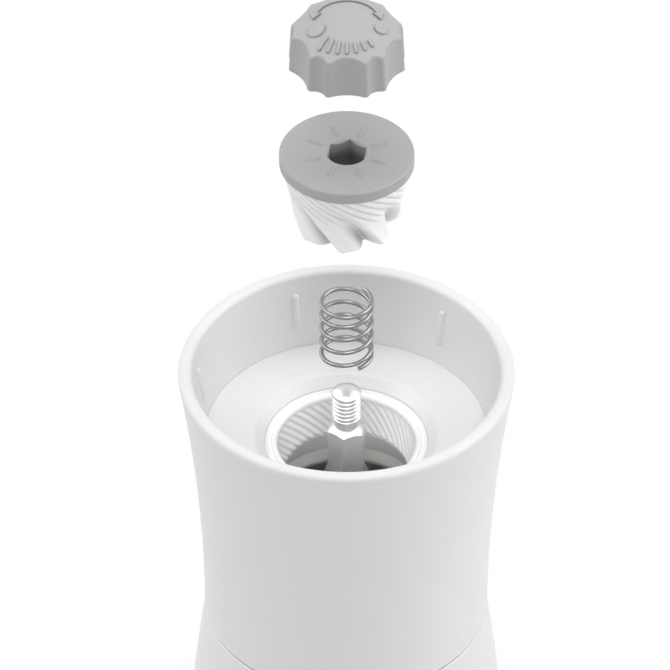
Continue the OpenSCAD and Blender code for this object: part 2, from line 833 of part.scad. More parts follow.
module grain_funnel() {
    throat_r = spider_r + 1;
    wide_r = upper_r(funnel_z - funnel_h) - shell_wall - funnel_gap;
    color("gainsboro")
        difference() {
            union() {
                tube(throat_r, tube_r, funnel_z, funnel_flange_t);
                around(3, arm_turn)
                    translate([screw_ring_r, 0, funnel_z])
                        cylinder(h = funnel_flange_t, r = boss_r, $fn = 32);
                translate([0, 0, funnel_z - funnel_h])
                    cylinder(h = funnel_h + eps, r1 = wide_r, r2 = throat_r + funnel_wall + 1);
            }
            translate([0, 0, funnel_z - funnel_h - eps])
                cylinder(h = funnel_h, r1 = wide_r - funnel_wall, r2 = throat_r);
            translate([0, 0, funnel_z - 1])
                cylinder(h = funnel_flange_t + 2, r = throat_r);
            around(3, arm_turn)
                translate([screw_ring_r, 0, funnel_z - funnel_h]) {
                    cylinder(h = funnel_h + funnel_flange_t + 1, r = screw_r + fit_gap, $fn = 32);
                    cylinder(h = funnel_h, r = head_r + 2 * fit_gap, $fn = 32);
                }
        }
}

module spider_screws() {
    color("silver")
        screws(screw_ring_r, funnel_z, screw_l);
}

module turning_sleeve() {
    color("darkgray")
        tube(sleeve_r0, sleeve_r1, sleeve_z, sleeve_h);
}

// ---- grinder and knob ----

// Height of the wire's centre after t turns
function coil_z(t) =
    let (
        span = spring_l - wire_d,
        close_pitch = wire_d * 1.06,
        low = closed_turns * close_pitch,
        open_pitch = (span - 2 * low) / (spring_turns - 2 * closed_turns)
    )
        t < closed_turns ? t * close_pitch
        : t < spring_turns - closed_turns ? low + (t - closed_turns) * open_pitch
        : span - (spring_turns - t) * close_pitch;

module spring() {
    per_turn = 24;
    sides = 8;
    n = ceil(spring_turns * per_turn);
    points = [
        for (k = [0 : n], s = [0 : sides - 1])
            let (
                t = spring_turns * k / n,
                a = tail_turn + 360 * t,
                u = 360 * s / sides,
                r = coil_r + wire_d / 2 * cos(u)
            )
                [r * cos(a), r * sin(a), spring_z + wire_d / 2 + coil_z(t) + wire_d / 2 * sin(u)]
    ];
    faces = [
        [for (s = [0 : sides - 1]) s],
        [for (s = [sides - 1 : -1 : 0]) n * sides + s],
        for (k = [0 : n - 1], s = [0 : sides - 1])
            let (a = k * sides + s, b = k * sides + (s + 1) % sides)
                each [[a, a + sides, b + sides], [a, b + sides, b]]
    ];
    color("silver")
        polyhedron(points, faces);
}

module rotor_cone() {
    per_tooth = 6;
    columns = per_tooth * rotor_teeth;
    rows_down = 10;
    hole_r = hex_af / 2 + hex_gap;
    // the columns follow the slant, so each tooth keeps its own six
    function slant(h) = lobe_turn + rotor_twist * (h - rotor_h);
    // distance from the axis to the flat of a hexagon, in direction a
    function hex_dist(a) = hole_r / cos(((a - hex_turn) % 60 + 60) % 60 - 30);
    // 1 on the crest of a lobe and 0 in a valley; the leading side is the steeper one
    function lobe(i) =
        let (w = 360 * rotor_lobes * i / columns)
            (1 + cos(w + lobe_skew * (cos(w) - 1) * 180 / PI)) / 2;
    function tooth(i) = abs((i / per_tooth) % 1 * 2 - 1);
    function envelope(h) = h < rotor_fine_h
        ? rotor_top_r + (rotor_mid_r - rotor_top_r) * h / rotor_fine_h
        : rotor_mid_r + (rotor_bottom_r - rotor_mid_r) * (h - rotor_fine_h) / (rotor_h - rotor_fine_h);
    // how far the lobes have taken over from the teeth at height h below the cap
    function lobed(h) = max(0, (h - rotor_fine_h / 2) / (rotor_h - rotor_fine_h / 2));
    function outer(i, h) = envelope(h)
        - valley_depth * lobed(h) * (1 - lobe(i))
        - rotor_tooth * (1 - lobed(h)) * (1 - tooth(i));
    function outer_row(h) = [
        slant(h),
        [for (i = [0 : columns - 1]) [outer(i, h), rotor_z + rotor_h - h]]
    ];
    function hex_row(z) = [
        slant(rotor_h),
        [for (i = [0 : columns - 1]) [hex_dist(i * 360 / columns + slant(rotor_h)), z]]
    ];
    function round_row(z) = [slant(rotor_h), [for (i = [1 : columns]) [chamber_r, z]]];
    rows = [
        hex_row(cap_z),
        hex_row(rotor_z + chamber_h),
        round_row(rotor_z + chamber_h),
        round_row(rotor_z),
        for (k = [rows_down : -1 : 0]) outer_row(rotor_h * k / rows_down)
    ];
    color("white")
        lofted_ring(rows, columns);
}

module rotor_cap() {
    color("darkgray")
        difference() {
            union() {
                rotate_extrude()
                    difference() {
                        translate([0, cap_z])
                            square([cap_r, cap_t]);
                        corner_loss(cap_r, cap_z + cap_t, cap_round, 1, 1);
                    }
                around(mark_count, mark_turn)
                    translate([mark_r0, -mark_w / 2, cap_z + cap_t - eps])
                        cube([mark_r1 - mark_r0, mark_w, mark_h]);
            }
            hex_bar(hex_af + 2 * hex_gap, cap_z - 1, cap_t + 2);
            translate([0, 0, cap_z + cap_t - cap_sink])
                cylinder(h = cap_sink + eps, r1 = hex_af / 2, r2 = hex_af / 2 + 1.5 * cap_sink);
        }
}

module knob_insert() {
    color("goldenrod")
        difference() {
            union() {
                translate([0, 0, insert_z])
                    cylinder(h = insert_h, r = insert_r);
                translate([0, 0, insert_z])
                    cylinder(h = insert_flange_t, r = insert_flange_r);
            }
            translate([0, 0, insert_z - 1])
                cylinder(h = insert_h + 2, r = insert_bore_r);
        }
}

// A flute down the knob's side, leaning in towards the top
module flute(r, depth) {
    h = knob_side_h + knob_dome_h;
    translate([knob_r - depth + r, 0, 0])
        rotate([0, -knob_draft, 0])
            translate([0, 0, -h / 4])
                cylinder(h = 1.5 * h, r = r);
}

// Half of the knob's section: a leaning side, a domed top and a rounded edge between them
module knob_profile() {
    h = knob_side_h + knob_dome_h;
    ball_r = (knob_r^2 + knob_dome_h^2) / (2 * knob_dome_h);
    ball = [0, h - ball_r];
    out = [cos(knob_draft), sin(knob_draft)];
    up = [-sin(knob_draft), cos(knob_draft)];
    // the rounding's centre lies knob_round inside both the side and the dome
    base = [knob_r, 0] - knob_round * out - ball;
    along = -(base * up) + sqrt((base * up)^2 - base * base + (ball_r - knob_round)^2);
    centre = ball + base + along * up;
    meet = atan2(centre[1] - ball[1], centre[0]);
    edge_steps = 6;
    dome_steps = 12;
    polygon([
        [0, 0],
        [knob_r, 0],
        for (k = [0 : edge_steps])
            let (a = knob_draft + (meet - knob_draft) * k / edge_steps)
                centre + knob_round * [cos(a), sin(a)],
        for (k = [1 : dome_steps])
            let (a = meet + (90 - meet) * k / dome_steps)
                ball + ball_r * [cos(a), sin(a)]
    ]);
}

module knob() {
    color("gray")
        difference() {
            translate([0, 0, knob_z])
                rotate_extrude()
                    knob_profile();
            translate([0, 0, knob_z]) {
                around(flute_count, -90)
                    flute(wide_flute_r, wide_flute_depth);
                around(flute_count, -90 + 180 / flute_count)
                    flute(narrow_flute_r, narrow_flute_depth);
            }
            tube(knob_boss_r, knob_hollow_r, knob_z - 1, knob_hollow_h + 1);
            // the insert's flange, the insert, and room for the shaft's tip
            translate([0, 0, knob_z - 1])
                cylinder(
                    h = insert_z - knob_z + insert_flange_t + tip_gap + 1,
                    r = insert_flange_r + fit_gap
                );
            translate([0, 0, knob_z - 1])
                cylinder(h = insert_z - knob_z + insert_h + tip_gap + 1, r = insert_r + run_gap);
            translate([0, 0, knob_z])
                cylinder(h = tip_room_z - knob_z, r = thread_r + tip_gap);
        }
}

foot_ring();
base_plate();
base_shell();
pepper_cup();
drive_bridge();
bridge_screws();
coupling_ring();
neck_seal();
drive_shaft();
hub_bush();
thrust_washer();
shaft_clip();
housing_shell();
mill_plate();
stator_ring();
bearing_spider();
grain_funnel();
spider_screws();
turning_sleeve();
spring();
rotor_cone();
rotor_cap();
knob_insert();
knob();
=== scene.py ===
"""A white pepper mill with its ceramic grinder lifted out.

Knob, rotor and spring hang over the open mouth. Lengths are named in millimetres and turned to
metres where a mesh is made. The places of the pieces come from the boxes of the construction's
nodes.
"""
import math

import bmesh
import bpy
from mathutils import Matrix, Vector


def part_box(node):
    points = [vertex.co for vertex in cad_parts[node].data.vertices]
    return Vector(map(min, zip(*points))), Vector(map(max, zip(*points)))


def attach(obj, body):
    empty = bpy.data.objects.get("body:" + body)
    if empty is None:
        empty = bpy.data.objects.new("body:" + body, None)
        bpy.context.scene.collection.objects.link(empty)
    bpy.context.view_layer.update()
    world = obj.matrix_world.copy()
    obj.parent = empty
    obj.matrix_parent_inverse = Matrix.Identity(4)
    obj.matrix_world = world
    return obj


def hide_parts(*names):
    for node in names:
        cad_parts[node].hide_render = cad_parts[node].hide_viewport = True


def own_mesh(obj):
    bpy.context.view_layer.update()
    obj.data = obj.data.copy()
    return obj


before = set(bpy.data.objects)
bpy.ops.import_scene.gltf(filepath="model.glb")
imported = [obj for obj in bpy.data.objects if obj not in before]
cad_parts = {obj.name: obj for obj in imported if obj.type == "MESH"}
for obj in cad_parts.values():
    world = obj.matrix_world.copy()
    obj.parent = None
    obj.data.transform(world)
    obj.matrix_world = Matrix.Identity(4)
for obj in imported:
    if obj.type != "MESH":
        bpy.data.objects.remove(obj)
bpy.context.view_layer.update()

MM = 0.001
MATH = "ShaderNodeMath"


def node_mm(node):
    """Lowest and highest corner of a construction node, in millimetres."""
    low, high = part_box(node)
    return [c / MM for c in low], [c / MM for c in high]


# ---------------------------------------------------------------- sizes, in millimetres
SEAM_Z = node_mm("housing_shell")[0][2]
RIM_Z = node_mm("housing_shell")[1][2]
FOOT_Z, WAIST_Z = node_mm("base_shell")[0][2], node_mm("base_shell")[1][2]

FOOT_R, WAIST_R, RIM_R = 34.5, 29.0, 34.0
SHELL_WALL = 2.7
RIM_ROUND = 1.2
FOOT_ROUND = 1.5
SEAM_BEVEL = 0.25
SHELL_COLUMNS = 256  # points round the shells and the plate

MOUTH_R, FLOOR_R = 31.1, 28.6
PLATE_TOP = node_mm("mill_plate")[1][2]
PLATE_T = 3.0
LEDGE_W, LEDGE_H = 2.0, 2.4
RIB_COUNT, RIB_W, RIB_PROUD, RIB_TOP, RIB_L, RIB_TURN = 6, 1.6, 0.55, 4.2, 8.4, 50
DISH_R, DISH_DEPTH, DISH_SLOPE = 18.6, 1.7, 1.9
TUBE_WALL = 1.7
FIT_GAP, FINE_GAP = 0.08, 0.03
BOSS_COUNT, BOSS_RING_R, BOSS_R, BOSS_TURN = 3, 21.8, 2.8, 90
SCREW_HOLE_R = 1.26  # clears the screws, whose corners stand at 1.25
SEAT_Z = node_mm("mill_plate")[0][2]  # where the plate stands on the spider

STATOR_BOTTOM, STATOR_TOP = node_mm("stator_ring")[0][2], node_mm("stator_ring")[1][2]
STATOR_R, STATOR_FLANGE_R, STATOR_FLANGE_H = 16.4, 17.9, 2.8
STATOR_TOP_R, STATOR_THROAT_R, STATOR_FOOT_R = 13.9, 12.4, 12.9
STATOR_THROAT_DEPTH = 8.0
STATOR_TEETH, STATOR_TOOTH, STATOR_TOOTH_COLUMNS = 45, 0.34, 16
STATOR_TWIST = 4.0  # this and the other twists are degrees for each millimetre of height

ROTOR_BOTTOM, ROTOR_TOP = node_mm("rotor_cone")[0][2], node_mm("rotor_cone")[1][2]
ROTOR_TOP_R, ROTOR_MID_R, ROTOR_BOTTOM_R = 13.0, 11.2, 10.1
ROTOR_FINE_H = 8.0
ROTOR_TEETH, ROTOR_TOOTH, TOOTH_TWIST, ROTOR_TOOTH_COLUMNS = 28, 0.36, 6.6, 28
LOBES, VALLEY, LOBE_SKEW, LOBE_TWIST = 7, 3.45, 0.85, 3.8
LOBE_TURN = -94  # direction of a lobe's crest at the bottom
CHAMBER_R, CHAMBER_H = 5.6, 8.5
CAP_R, CAP_T, CAP_ROUND, CAP_SINK, HUB_AF = 13.3, 2.6, 0.45, 0.7, 8.8
CAP_TOP = ROTOR_TOP + CAP_T
SINK_SLOPE = 0.85  # radius lost for each millimetre down into the hexagon
MARK_COUNT, MARK_R0, MARK_R1, MARK_W, MARK_H, MARK_TURN = 8, 5.1, 8.5, 0.9, 0.25, 19
MARK_TOP_W, MARK_TOP_L = 0.2, 0.8  # shares of a mark's width and length left at its top

HEX_AF, HEX_TURN, HEX_GAP = 7.0, 21.0, 0.1
SHAFT_BOTTOM, TIP_Z = node_mm("drive_shaft")[0][2], node_mm("drive_shaft")[1][2]
THREAD_R, THREAD_L, THREAD_PITCH, THREAD_DEPTH = 3.0, 7.6, 1.0, 0.55
NECK_R, NECK_L, SHOULDER_H = 2.4, 2.0, 0.9
TIP_DOME = 1.2
CLIP_Z, CLIP_T, GROOVE_R = node_mm("shaft_clip")[0][2], 0.9, 3.05

COIL_R, WIRE_D, SPRING_TURNS, CLOSED_TURNS, TAIL_TURN = 5.0, 0.9, 5.3, 0.75, -62
SPRING_BOTTOM, SPRING_L = node_mm("spring")[0][2], 15.0

KNOB_Z = node_mm("knob")[0][2]
KNOB_R, KNOB_SIDE_H, KNOB_DOME_H, KNOB_ROUND = 11.8, 7.2, 4.3, 1.4
FLUTES, WIDE_R, WIDE_DEPTH, NARROW_R, NARROW_DEPTH = 6, 8.7, 1.7, 2.8, 1.15
KNOB_DRAFT = 3.0
BOSS_BORE_R, FLANGE_BORE_R, FLANGE_BORE_H, INSERT_BORE_H = 5.06, 6.28, 1.7, 8.0
TIP_BORE_R, TIP_BORE_H = 3.4, 10.4
HOLLOW_R0, HOLLOW_R1, HOLLOW_H = 7.2, 8.9, 6.5
ARROW_R, ARROW_START, ARROW_END = 6.6, 3, 177
DOTS = [(204.5, 6.6, 3.5), (-20, 7.0, 2.4)]  # direction, distance from the axis and diameter
TICKS, TICK_R, TICK_STEP, TICK_L, TICK_LESS = 7, 7.9, 12, 2.9, 0.25


# ---------------------------------------------------------------- making meshes
def steps(start, end, count):
    """count + 1 even values from start to end."""
    return [start + (end - start) * k / count for k in range(count + 1)]


def arc(r, z, radius, start, end, count=6):
    """Points of a profile round (r, z), from one direction to another in degrees."""
    return [
        (r + radius * math.cos(math.radians(a)), z + radius * math.sin(math.radians(a)))
        for a in steps(start, end, count)
    ]


def turned(name, profile, columns, radius_at=None, toothed=None):
    """A closed solid of revolution: profile is a closed list of (radius, height), and radius_at
    may change the radius in each direction. Points for which toothed is true are marked for
    the tree that cuts teeth."""
    bm = bmesh.new()
    mark = bm.verts.layers.float.new("toothed")
    rows = []
    for r, z in profile:
        row = []
        for k in range(columns):
            angle = 2 * math.pi * k / columns
            reach = radius_at(angle, r, z) if radius_at else r
            x, y = reach * MM * math.cos(angle), reach * MM * math.sin(angle)
            vert = bm.verts.new((x, y, z * MM))
            vert[mark] = 1.0 if toothed and toothed(r, z) else 0.0
            row.append(vert)
            if r == 0:
                row = [row[0]] * columns
                break
        rows.append(row)
    for j, low in enumerate(rows):
        high = rows[(j + 1) % len(rows)]
        for k in range(columns):
            ring = [low[k], low[(k + 1) % columns], high[(k + 1) % columns], high[k]]
            corners = list(dict.fromkeys(ring))
            if len(corners) > 2:
                bm.faces.new(corners)
    bmesh.ops.recalc_face_normals(bm, faces=bm.faces)
    return placed(name, bm)


def placed(name, bm):
    """Turns a bmesh into an object in the scene."""
    mesh = bpy.data.meshes.new(name)
    bm.to_mesh(mesh)
    bm.free()
    obj = bpy.data.objects.new(name, mesh)
    bpy.context.scene.collection.objects.link(obj)
    return obj


def smooth(obj, angle=32):
    """Smooth shading, with edges sharper than angle kept crisp."""
    obj.data.polygons.foreach_set("use_smooth", [True] * len(obj.data.polygons))
    obj.data.set_sharp_from_angle(angle=math.radians(angle))
    return obj


def joined(name, parts):
    """Several objects as one piece."""
    bm = bmesh.new()
    for part in parts:
        bm.from_mesh(part.data)
    for part in parts:
        bpy.data.objects.remove(part)
    return placed(name, bm)


def socket(sockets, key):
    """One socket of a node, by its identifier, its name or its place in the row."""
    return next((one for one in sockets if one.identifier == key), None) or sockets[key]


def add(tree, kind, inputs=None, **settings):
    """Adds a node with its settings, and sets or links its inputs. A node given as an input
    is linked from its first output."""
    made = tree.nodes.new(kind)
    for key, value in settings.items():
        setattr(made, key, value)
    for key, value in (inputs or {}).items():
        value = value.outputs[0] if isinstance(value, bpy.types.Node) else value
        if isinstance(value, bpy.types.NodeSocket):
            tree.links.new(value, socket(made.inputs, key))
        else:
            socket(made.inputs, key).default_value = value
    return made


def grown(obj, tree, values, material):
    """Runs a Geometry Nodes tree on obj with named input values and keeps the plain mesh."""
    modifier = obj.modifiers.new(tree.name, "NODES")
    modifier.node_group = tree
    named = {i.name: i.identifier for i in tree.interface.items_tree if i.in_out == "INPUT"}
    for key, value in {**values, "Material": material}.items():
        modifier[named[key]] = value
    bpy.context.view_layer.update()
    evaluated = obj.evaluated_get(bpy.context.evaluated_depsgraph_get())
    mesh = bpy.data.meshes.new_from_object(evaluated)
    obj.modifiers.remove(modifier)
    obj.data = mesh
    return obj


def open_tree(name, inputs):
    """A new Geometry Nodes tree with a Geometry and a Material input and the named sizes."""
    tree = bpy.data.node_groups.new(name, "GeometryNodeTree")
    face = tree.interface
    face.new_socket("Geometry", in_out="INPUT", socket_type="NodeSocketGeometry")
    for key, kind in inputs.items():
        face.new_socket(key, in_out="INPUT", socket_type=f"NodeSocket{kind}")
    face.new_socket("Material", in_out="INPUT", socket_type="NodeSocketMaterial")
    face.new_socket("Geometry", in_out="OUTPUT", socket_type="NodeSocketGeometry")
    return tree, add(tree, "NodeGroupInput").outputs


def close_tree(tree, given, geometry):
    """Ends a tree in Realize Instances and Set Material."""
    real = add(tree, "GeometryNodeRealizeInstances", {"Geometry": geometry})
    ends = {"Geometry": real, "Material": given["Material"]}
    painted = add(tree, "GeometryNodeSetMaterial", ends)
    add(tree, "NodeGroupOutput", {"Geometry": painted})
    return tree


def teeth_tree():
    """Cuts helical teeth, lobes or a thread into the points marked toothed.

    The cut is a wave round the axis that turns by Twist for each metre of height, with crests
    that lean by Skew. It grows from nothing at Start to its full depth at Full, and fades again
    from Level to End."""
    sizes = ("Teeth", "Turn", "Twist", "Depth", "Sharpness", "Skew")
    sizes += ("Start", "Full", "Level", "End")
    tree, given = open_tree("helical_teeth", {key: "Float" for key in sizes})

    place = add(tree, "GeometryNodeInputPosition")
    axes = add(tree, "ShaderNodeSeparateXYZ", {0: place}).outputs
    angle = add(tree, MATH, {0: axes["Y"], 1: axes["X"]}, operation="ARCTAN2")
    twisted = add(tree, MATH, {0: axes["Z"], 1: given["Twist"]}, operation="MULTIPLY")
    swept = add(tree, MATH, {0: angle, 1: twisted}, operation="SUBTRACT")
    turned_back = add(tree, MATH, {0: swept, 1: given["Turn"]}, operation="SUBTRACT")
    phase = add(tree, MATH, {0: turned_back, 1: given["Teeth"]}, operation="MULTIPLY")
    crest = add(tree, MATH, {0: phase}, operation="COSINE")
    lead = add(tree, MATH, {0: crest, 1: 1.0}, operation="SUBTRACT")
    lean = add(tree, MATH, {0: lead, 1: given["Skew"]}, operation="MULTIPLY")
    leaning = add(tree, MATH, {0: phase, 1: lean}, operation="ADD")
    leant = add(tree, MATH, {0: leaning}, operation="COSINE")
    half = add(tree, MATH, {0: leant, 1: 0.5}, operation="MULTIPLY")
    hollow = add(tree, MATH, {0: 0.5, 1: half}, operation="SUBTRACT")
    wave = add(tree, MATH, {0: hollow, 1: given["Sharpness"]}, operation="POWER")
    grows = {"Value": axes["Z"], "From Min": given["Start"], "From Max": given["Full"]}
    rise = add(tree, "ShaderNodeMapRange", grows, interpolation_type="SMOOTHSTEP")
    fades = {"Value": axes["Z"], "From Min": given["Level"], "From Max": given["End"]}
    fades.update({"To Min": 1.0, "To Max": 0.0})
    fall = add(tree, "ShaderNodeMapRange", fades, interpolation_type="SMOOTHSTEP")
    marked = add(
        tree, "GeometryNodeInputNamedAttribute", {"Name": "toothed"}, data_type="FLOAT"
    )
    ends = add(tree, MATH, {0: rise, 1: fall}, operation="MULTIPLY")
    share = add(tree, MATH, {0: ends, 1: marked}, operation="MULTIPLY")
    shape = add(tree, MATH, {0: wave, 1: share}, operation="MULTIPLY")
    cut = add(tree, MATH, {0: shape, 1: given["Depth"]}, operation="MULTIPLY")
    inward = add(tree, MATH, {0: cut, 1: -1.0}, operation="MULTIPLY")
    flat = add(tree, "ShaderNodeCombineXYZ", {"X": axes["X"], "Y": axes["Y"]})
    outward = add(tree, "ShaderNodeVectorMath", {0: flat}, operation="NORMALIZE")
    offset = add(
        tree, "ShaderNodeVectorMath", {0: outward, "Scale": inward}, operation="SCALE"
    )
    moved = add(
        tree, "GeometryNodeSetPosition", {"Geometry": given["Geometry"], "Offset": offset}
    )
    return close_tree(tree, given, moved)


def ring_tree():
    """Copies the geometry evenly round the axis, each copy turned with its place."""
    tree, given = open_tree("ring_of_copies", {"Count": "Int", "Turn": "Float"})
    points = add(tree, "GeometryNodePoints", {"Count": given["Count"]})
    index = add(tree, "GeometryNodeInputIndex")
    part = add(tree, MATH, {0: 2 * math.pi, 1: given["Count"]}, operation="DIVIDE")
    turn = add(tree, MATH, {0: index, 1: part, 2: given["Turn"]}, operation="MULTIPLY_ADD")
    euler = add(tree, "ShaderNodeCombineXYZ", {"Z": turn})
    copies = add(
        tree,
        "GeometryNodeInstanceOnPoints",
        {"Points": points, "Instance": given["Geometry"], "Rotation": euler},
    )
    return close_tree(tree, given, copies)


def spring_tree():
    """Winds a round wire into a coil whose first and last turns lie closed."""
    sizes = {"Radius": "Float", "Wire": "Float", "Length": "Float", "Bottom": "Float"}
    sizes.update({"Turns": "Float", "Closed": "Float", "Turn": "Float"})
    tree, given = open_tree("coil_spring", sizes)

    points, slack = 640, 1.06  # along the wire; and the pitch of closed turns, in wires
    wire_d, twice_closed = given["Wire"], {0: given["Closed"], 1: -2.0, 2: given["Turns"]}
    line = add(tree, "GeometryNodeMeshLine", {"Count": points})
    curve = add(tree, "GeometryNodeMeshToCurve", {"Mesh": line})
    index = add(tree, "GeometryNodeInputIndex")
    share = add(tree, MATH, {0: index, 1: points - 1.0}, operation="DIVIDE")
    turns = add(tree, MATH, {0: share, 1: given["Turns"]}, operation="MULTIPLY")
    close_pitch = add(tree, MATH, {0: wire_d, 1: slack}, operation="MULTIPLY")
    open_turns = add(tree, MATH, twice_closed, operation="MULTIPLY_ADD")
    span = add(tree, MATH, {0: given["Length"], 1: wire_d}, operation="SUBTRACT")
    closed_l = add(tree, MATH, {0: close_pitch, 1: given["Turns"]}, operation="MULTIPLY")
    spare = add(tree, MATH, {0: span, 1: closed_l}, operation="SUBTRACT")
    extra_pitch = add(tree, MATH, {0: spare, 1: open_turns}, operation="DIVIDE")
    beyond = add(tree, MATH, {0: turns, 1: given["Closed"]}, operation="SUBTRACT")
    past = add(tree, MATH, {0: beyond, 1: 0.0}, operation="MAXIMUM")
    opened = add(tree, MATH, {0: past, 1: open_turns}, operation="MINIMUM")
    closed_rise = add(tree, MATH, {0: turns, 1: close_pitch}, operation="MULTIPLY")
    climb = {0: opened, 1: extra_pitch, 2: closed_rise}
    rise = add(tree, MATH, climb, operation="MULTIPLY_ADD")
    base = add(tree, MATH, {0: wire_d, 1: 0.5, 2: given["Bottom"]}, operation="MULTIPLY_ADD")
    way = {0: turns, 1: 2 * math.pi, 2: given["Turn"]}
    angle = add(tree, MATH, way, operation="MULTIPLY_ADD")
    cosine = add(tree, MATH, {0: angle}, operation="COSINE")
    sine = add(tree, MATH, {0: angle}, operation="SINE")
    x = add(tree, MATH, {0: cosine, 1: given["Radius"]}, operation="MULTIPLY")
    y = add(tree, MATH, {0: sine, 1: given["Radius"]}, operation="MULTIPLY")
    z = add(tree, MATH, {0: base, 1: rise}, operation="ADD")
    place = add(tree, "ShaderNodeCombineXYZ", {"X": x, "Y": y, "Z": z})
    wound = add(tree, "GeometryNodeSetPosition", {"Geometry": curve, "Position": place})
    wire_r = add(tree, MATH, {0: wire_d, 1: 0.5}, operation="MULTIPLY")
    ring = add(
        tree, "GeometryNodeCurvePrimitiveCircle", {"Resolution": 20, "Radius": wire_r}
    )
    sweep = {"Curve": wound, "Profile Curve": ring, "Fill Caps": True}
    wire = add(tree, "GeometryNodeCurveToMesh", sweep)
    shaded_wire = add(tree, "GeometryNodeSetShadeSmooth", {"Geometry": wire})
    return close_tree(tree, given, shaded_wire)


# ---------------------------------------------------------------- finishes
def linear(code):
    """An sRGB hex value as a linear colour."""
    channels = [int(code[k : k + 2], 16) / 255 for k in (1, 3, 5)]
    return [c / 12.92 if c <= 0.04045 else ((c + 0.055) / 1.055) ** 2.4 for c in channels] + [1]


def material(name):
    """A new material: its tree, its principled shader and the object's own coordinates."""
    made = bpy.data.materials.new(name)
    made.use_nodes = True
    tree = made.node_tree
    shader = tree.nodes["Principled BSDF"]
    place = add(tree, "ShaderNodeTexCoord").outputs["Object"]
    return made, tree, shader, place


def grained(tree, shader, place, light, dark, patch_mm, grain_mm, height_mm, roughness):
    """Slow tone and gloss changes of patch_mm across, and a fine grain of grain_mm as bump. The
    real grain is finer on most of these finishes: it is drawn this coarse so that it shows."""
    scale, fine_scale = 1 / (patch_mm * MM), 1 / (grain_mm * MM)
    patch = add(tree, "ShaderNodeTexNoise", {"Vector": place, "Scale": scale, "Detail": 3.0})
    grain = add(
        tree, "ShaderNodeTexNoise", {"Vector": place, "Scale": fine_scale, "Detail": 2.0}
    )
    tones = {
        "Factor_Float": socket(patch.outputs, "Fac"),
        "A_Color": linear(dark),
        "B_Color": linear(light),
    }
    tone = add(tree, "ShaderNodeMix", tones, data_type="RGBA")
    tree.links.new(socket(tone.outputs, "Result_Color"), shader.inputs["Base Color"])
    glosses = {"Value": socket(patch.outputs, "Fac")}
    glosses.update({"To Min": roughness[0], "To Max": roughness[1]})
    gloss = add(tree, "ShaderNodeMapRange", glosses)
    tree.links.new(gloss.outputs["Result"], shader.inputs["Roughness"])
    relief = {"Height": socket(grain.outputs, "Fac"), "Distance": height_mm * MM}
    bump = add(tree, "ShaderNodeBump", {**relief, "Strength": 0.5})
    tree.links.new(bump.outputs["Normal"], shader.inputs["Normal"])


def painted_recess_shade(tree, shader, tone, reach_mm):
    """Painted shade: multiplies the colour by tone in the piece's own recesses, about reach_mm
    deep, where ambient occlusion finds them.
    """
    colour = shader.inputs["Base Color"].links[0].from_socket
    reach = {"Distance": reach_mm * MM}
    light = add(tree, "ShaderNodeAmbientOcclusion", reach, samples=8, only_local=True)
    closed = add(tree, MATH, {0: 1.0, 1: light.outputs["AO"]}, operation="SUBTRACT")
    tones = {"Factor_Float": closed, "A_Color": colour, "B_Color": linear(tone)}
    darker = add(tree, "ShaderNodeMix", tones, data_type="RGBA", blend_type="MULTIPLY")
    tree.links.new(socket(darker.outputs, "Result_Color"), shader.inputs["Base Color"])


def satin_white_abs():
    """White ABS from a finely eroded mould: an even satin with a faint orange peel."""
    made, tree, shader, place = material("satin_white_abs")
    grained(tree, shader, place, "#E6E6E6", "#E2E2E2", 18.0, 0.35, 0.006, (0.36, 0.44))
    shader.inputs["IOR"].default_value = 1.53
    return made


def natural_polypropylene():
    """Unpainted inner mouldings of polypropylene: a little greyer and waxier than the shells."""
    made, tree, shader, place = material("natural_polypropylene")
    grained(tree, shader, place, "#EEEEEC", "#E6E6E4", 9.0, 0.4, 0.008, (0.42, 0.52))
    shader.inputs["IOR"].default_value = 1.49
    return made


def matt_grey_abs():
    """Grey ABS from a blasted mould: flat, with a fine even grain that takes up the gloss."""
    made, tree, shader, place = material("matt_grey_abs")
    grained(tree, shader, place, "#ADADAD", "#A7A7A7", 7.0, 0.28, 0.012, (0.5, 0.6))
    shader.inputs["IOR"].default_value = 1.53
    # painted shade: the grey darkens in its own recesses, between the knob's flutes and round the
    # raised marks
    painted_recess_shade(tree, shader, "#6E6E6E", 0.8)
    return made


def natural_acetal():
    """Natural acetal of the bearing parts: a milky light grey, smooth and slightly greasy."""
    made, tree, shader, place = material("natural_acetal")
    grained(tree, shader, place, "#F6F6F4", "#F1F1EF", 6.0, 0.3, 0.006, (0.34, 0.42))
    shader.inputs["IOR"].default_value = 1.48
    return made


def hub_painted_shade():
    """Painted shade on the walls of the rotor's hexagonal hole: dark grey deep down, paler to its
    mouth.
    """
    made, tree, shader, place = material("hub_painted_shade")
    grained(tree, shader, place, "#5C5C5C", "#525252", 3.0, 0.3, 0.006, (0.5, 0.6))
    shader.inputs["IOR"].default_value = 1.53
    # painted shade: darkest at dark_depth below the cap's top, palest at pale_depth below it
    dark_depth, pale_depth = 4.2, 0.6
    height = add(tree, "ShaderNodeSeparateXYZ", {0: place}).outputs["Z"]
    low, high = (CAP_TOP - dark_depth) * MM, (CAP_TOP - pale_depth) * MM
    ends = {"Value": height, "From Min": low, "From Max": high}
    share = add(tree, "ShaderNodeMapRange", ends, interpolation_type="SMOOTHSTEP")
    under = shader.inputs["Base Color"].links[0].from_socket
    tones = {"Factor_Float": share, "A_Color": under, "B_Color": linear("#9C9C9C")}
    depth_painted_shade = add(tree, "ShaderNodeMix", tones, data_type="RGBA")
    tree.links.new(socket(depth_painted_shade.outputs, "Result_Color"), shader.inputs["Base Color"])
    return made


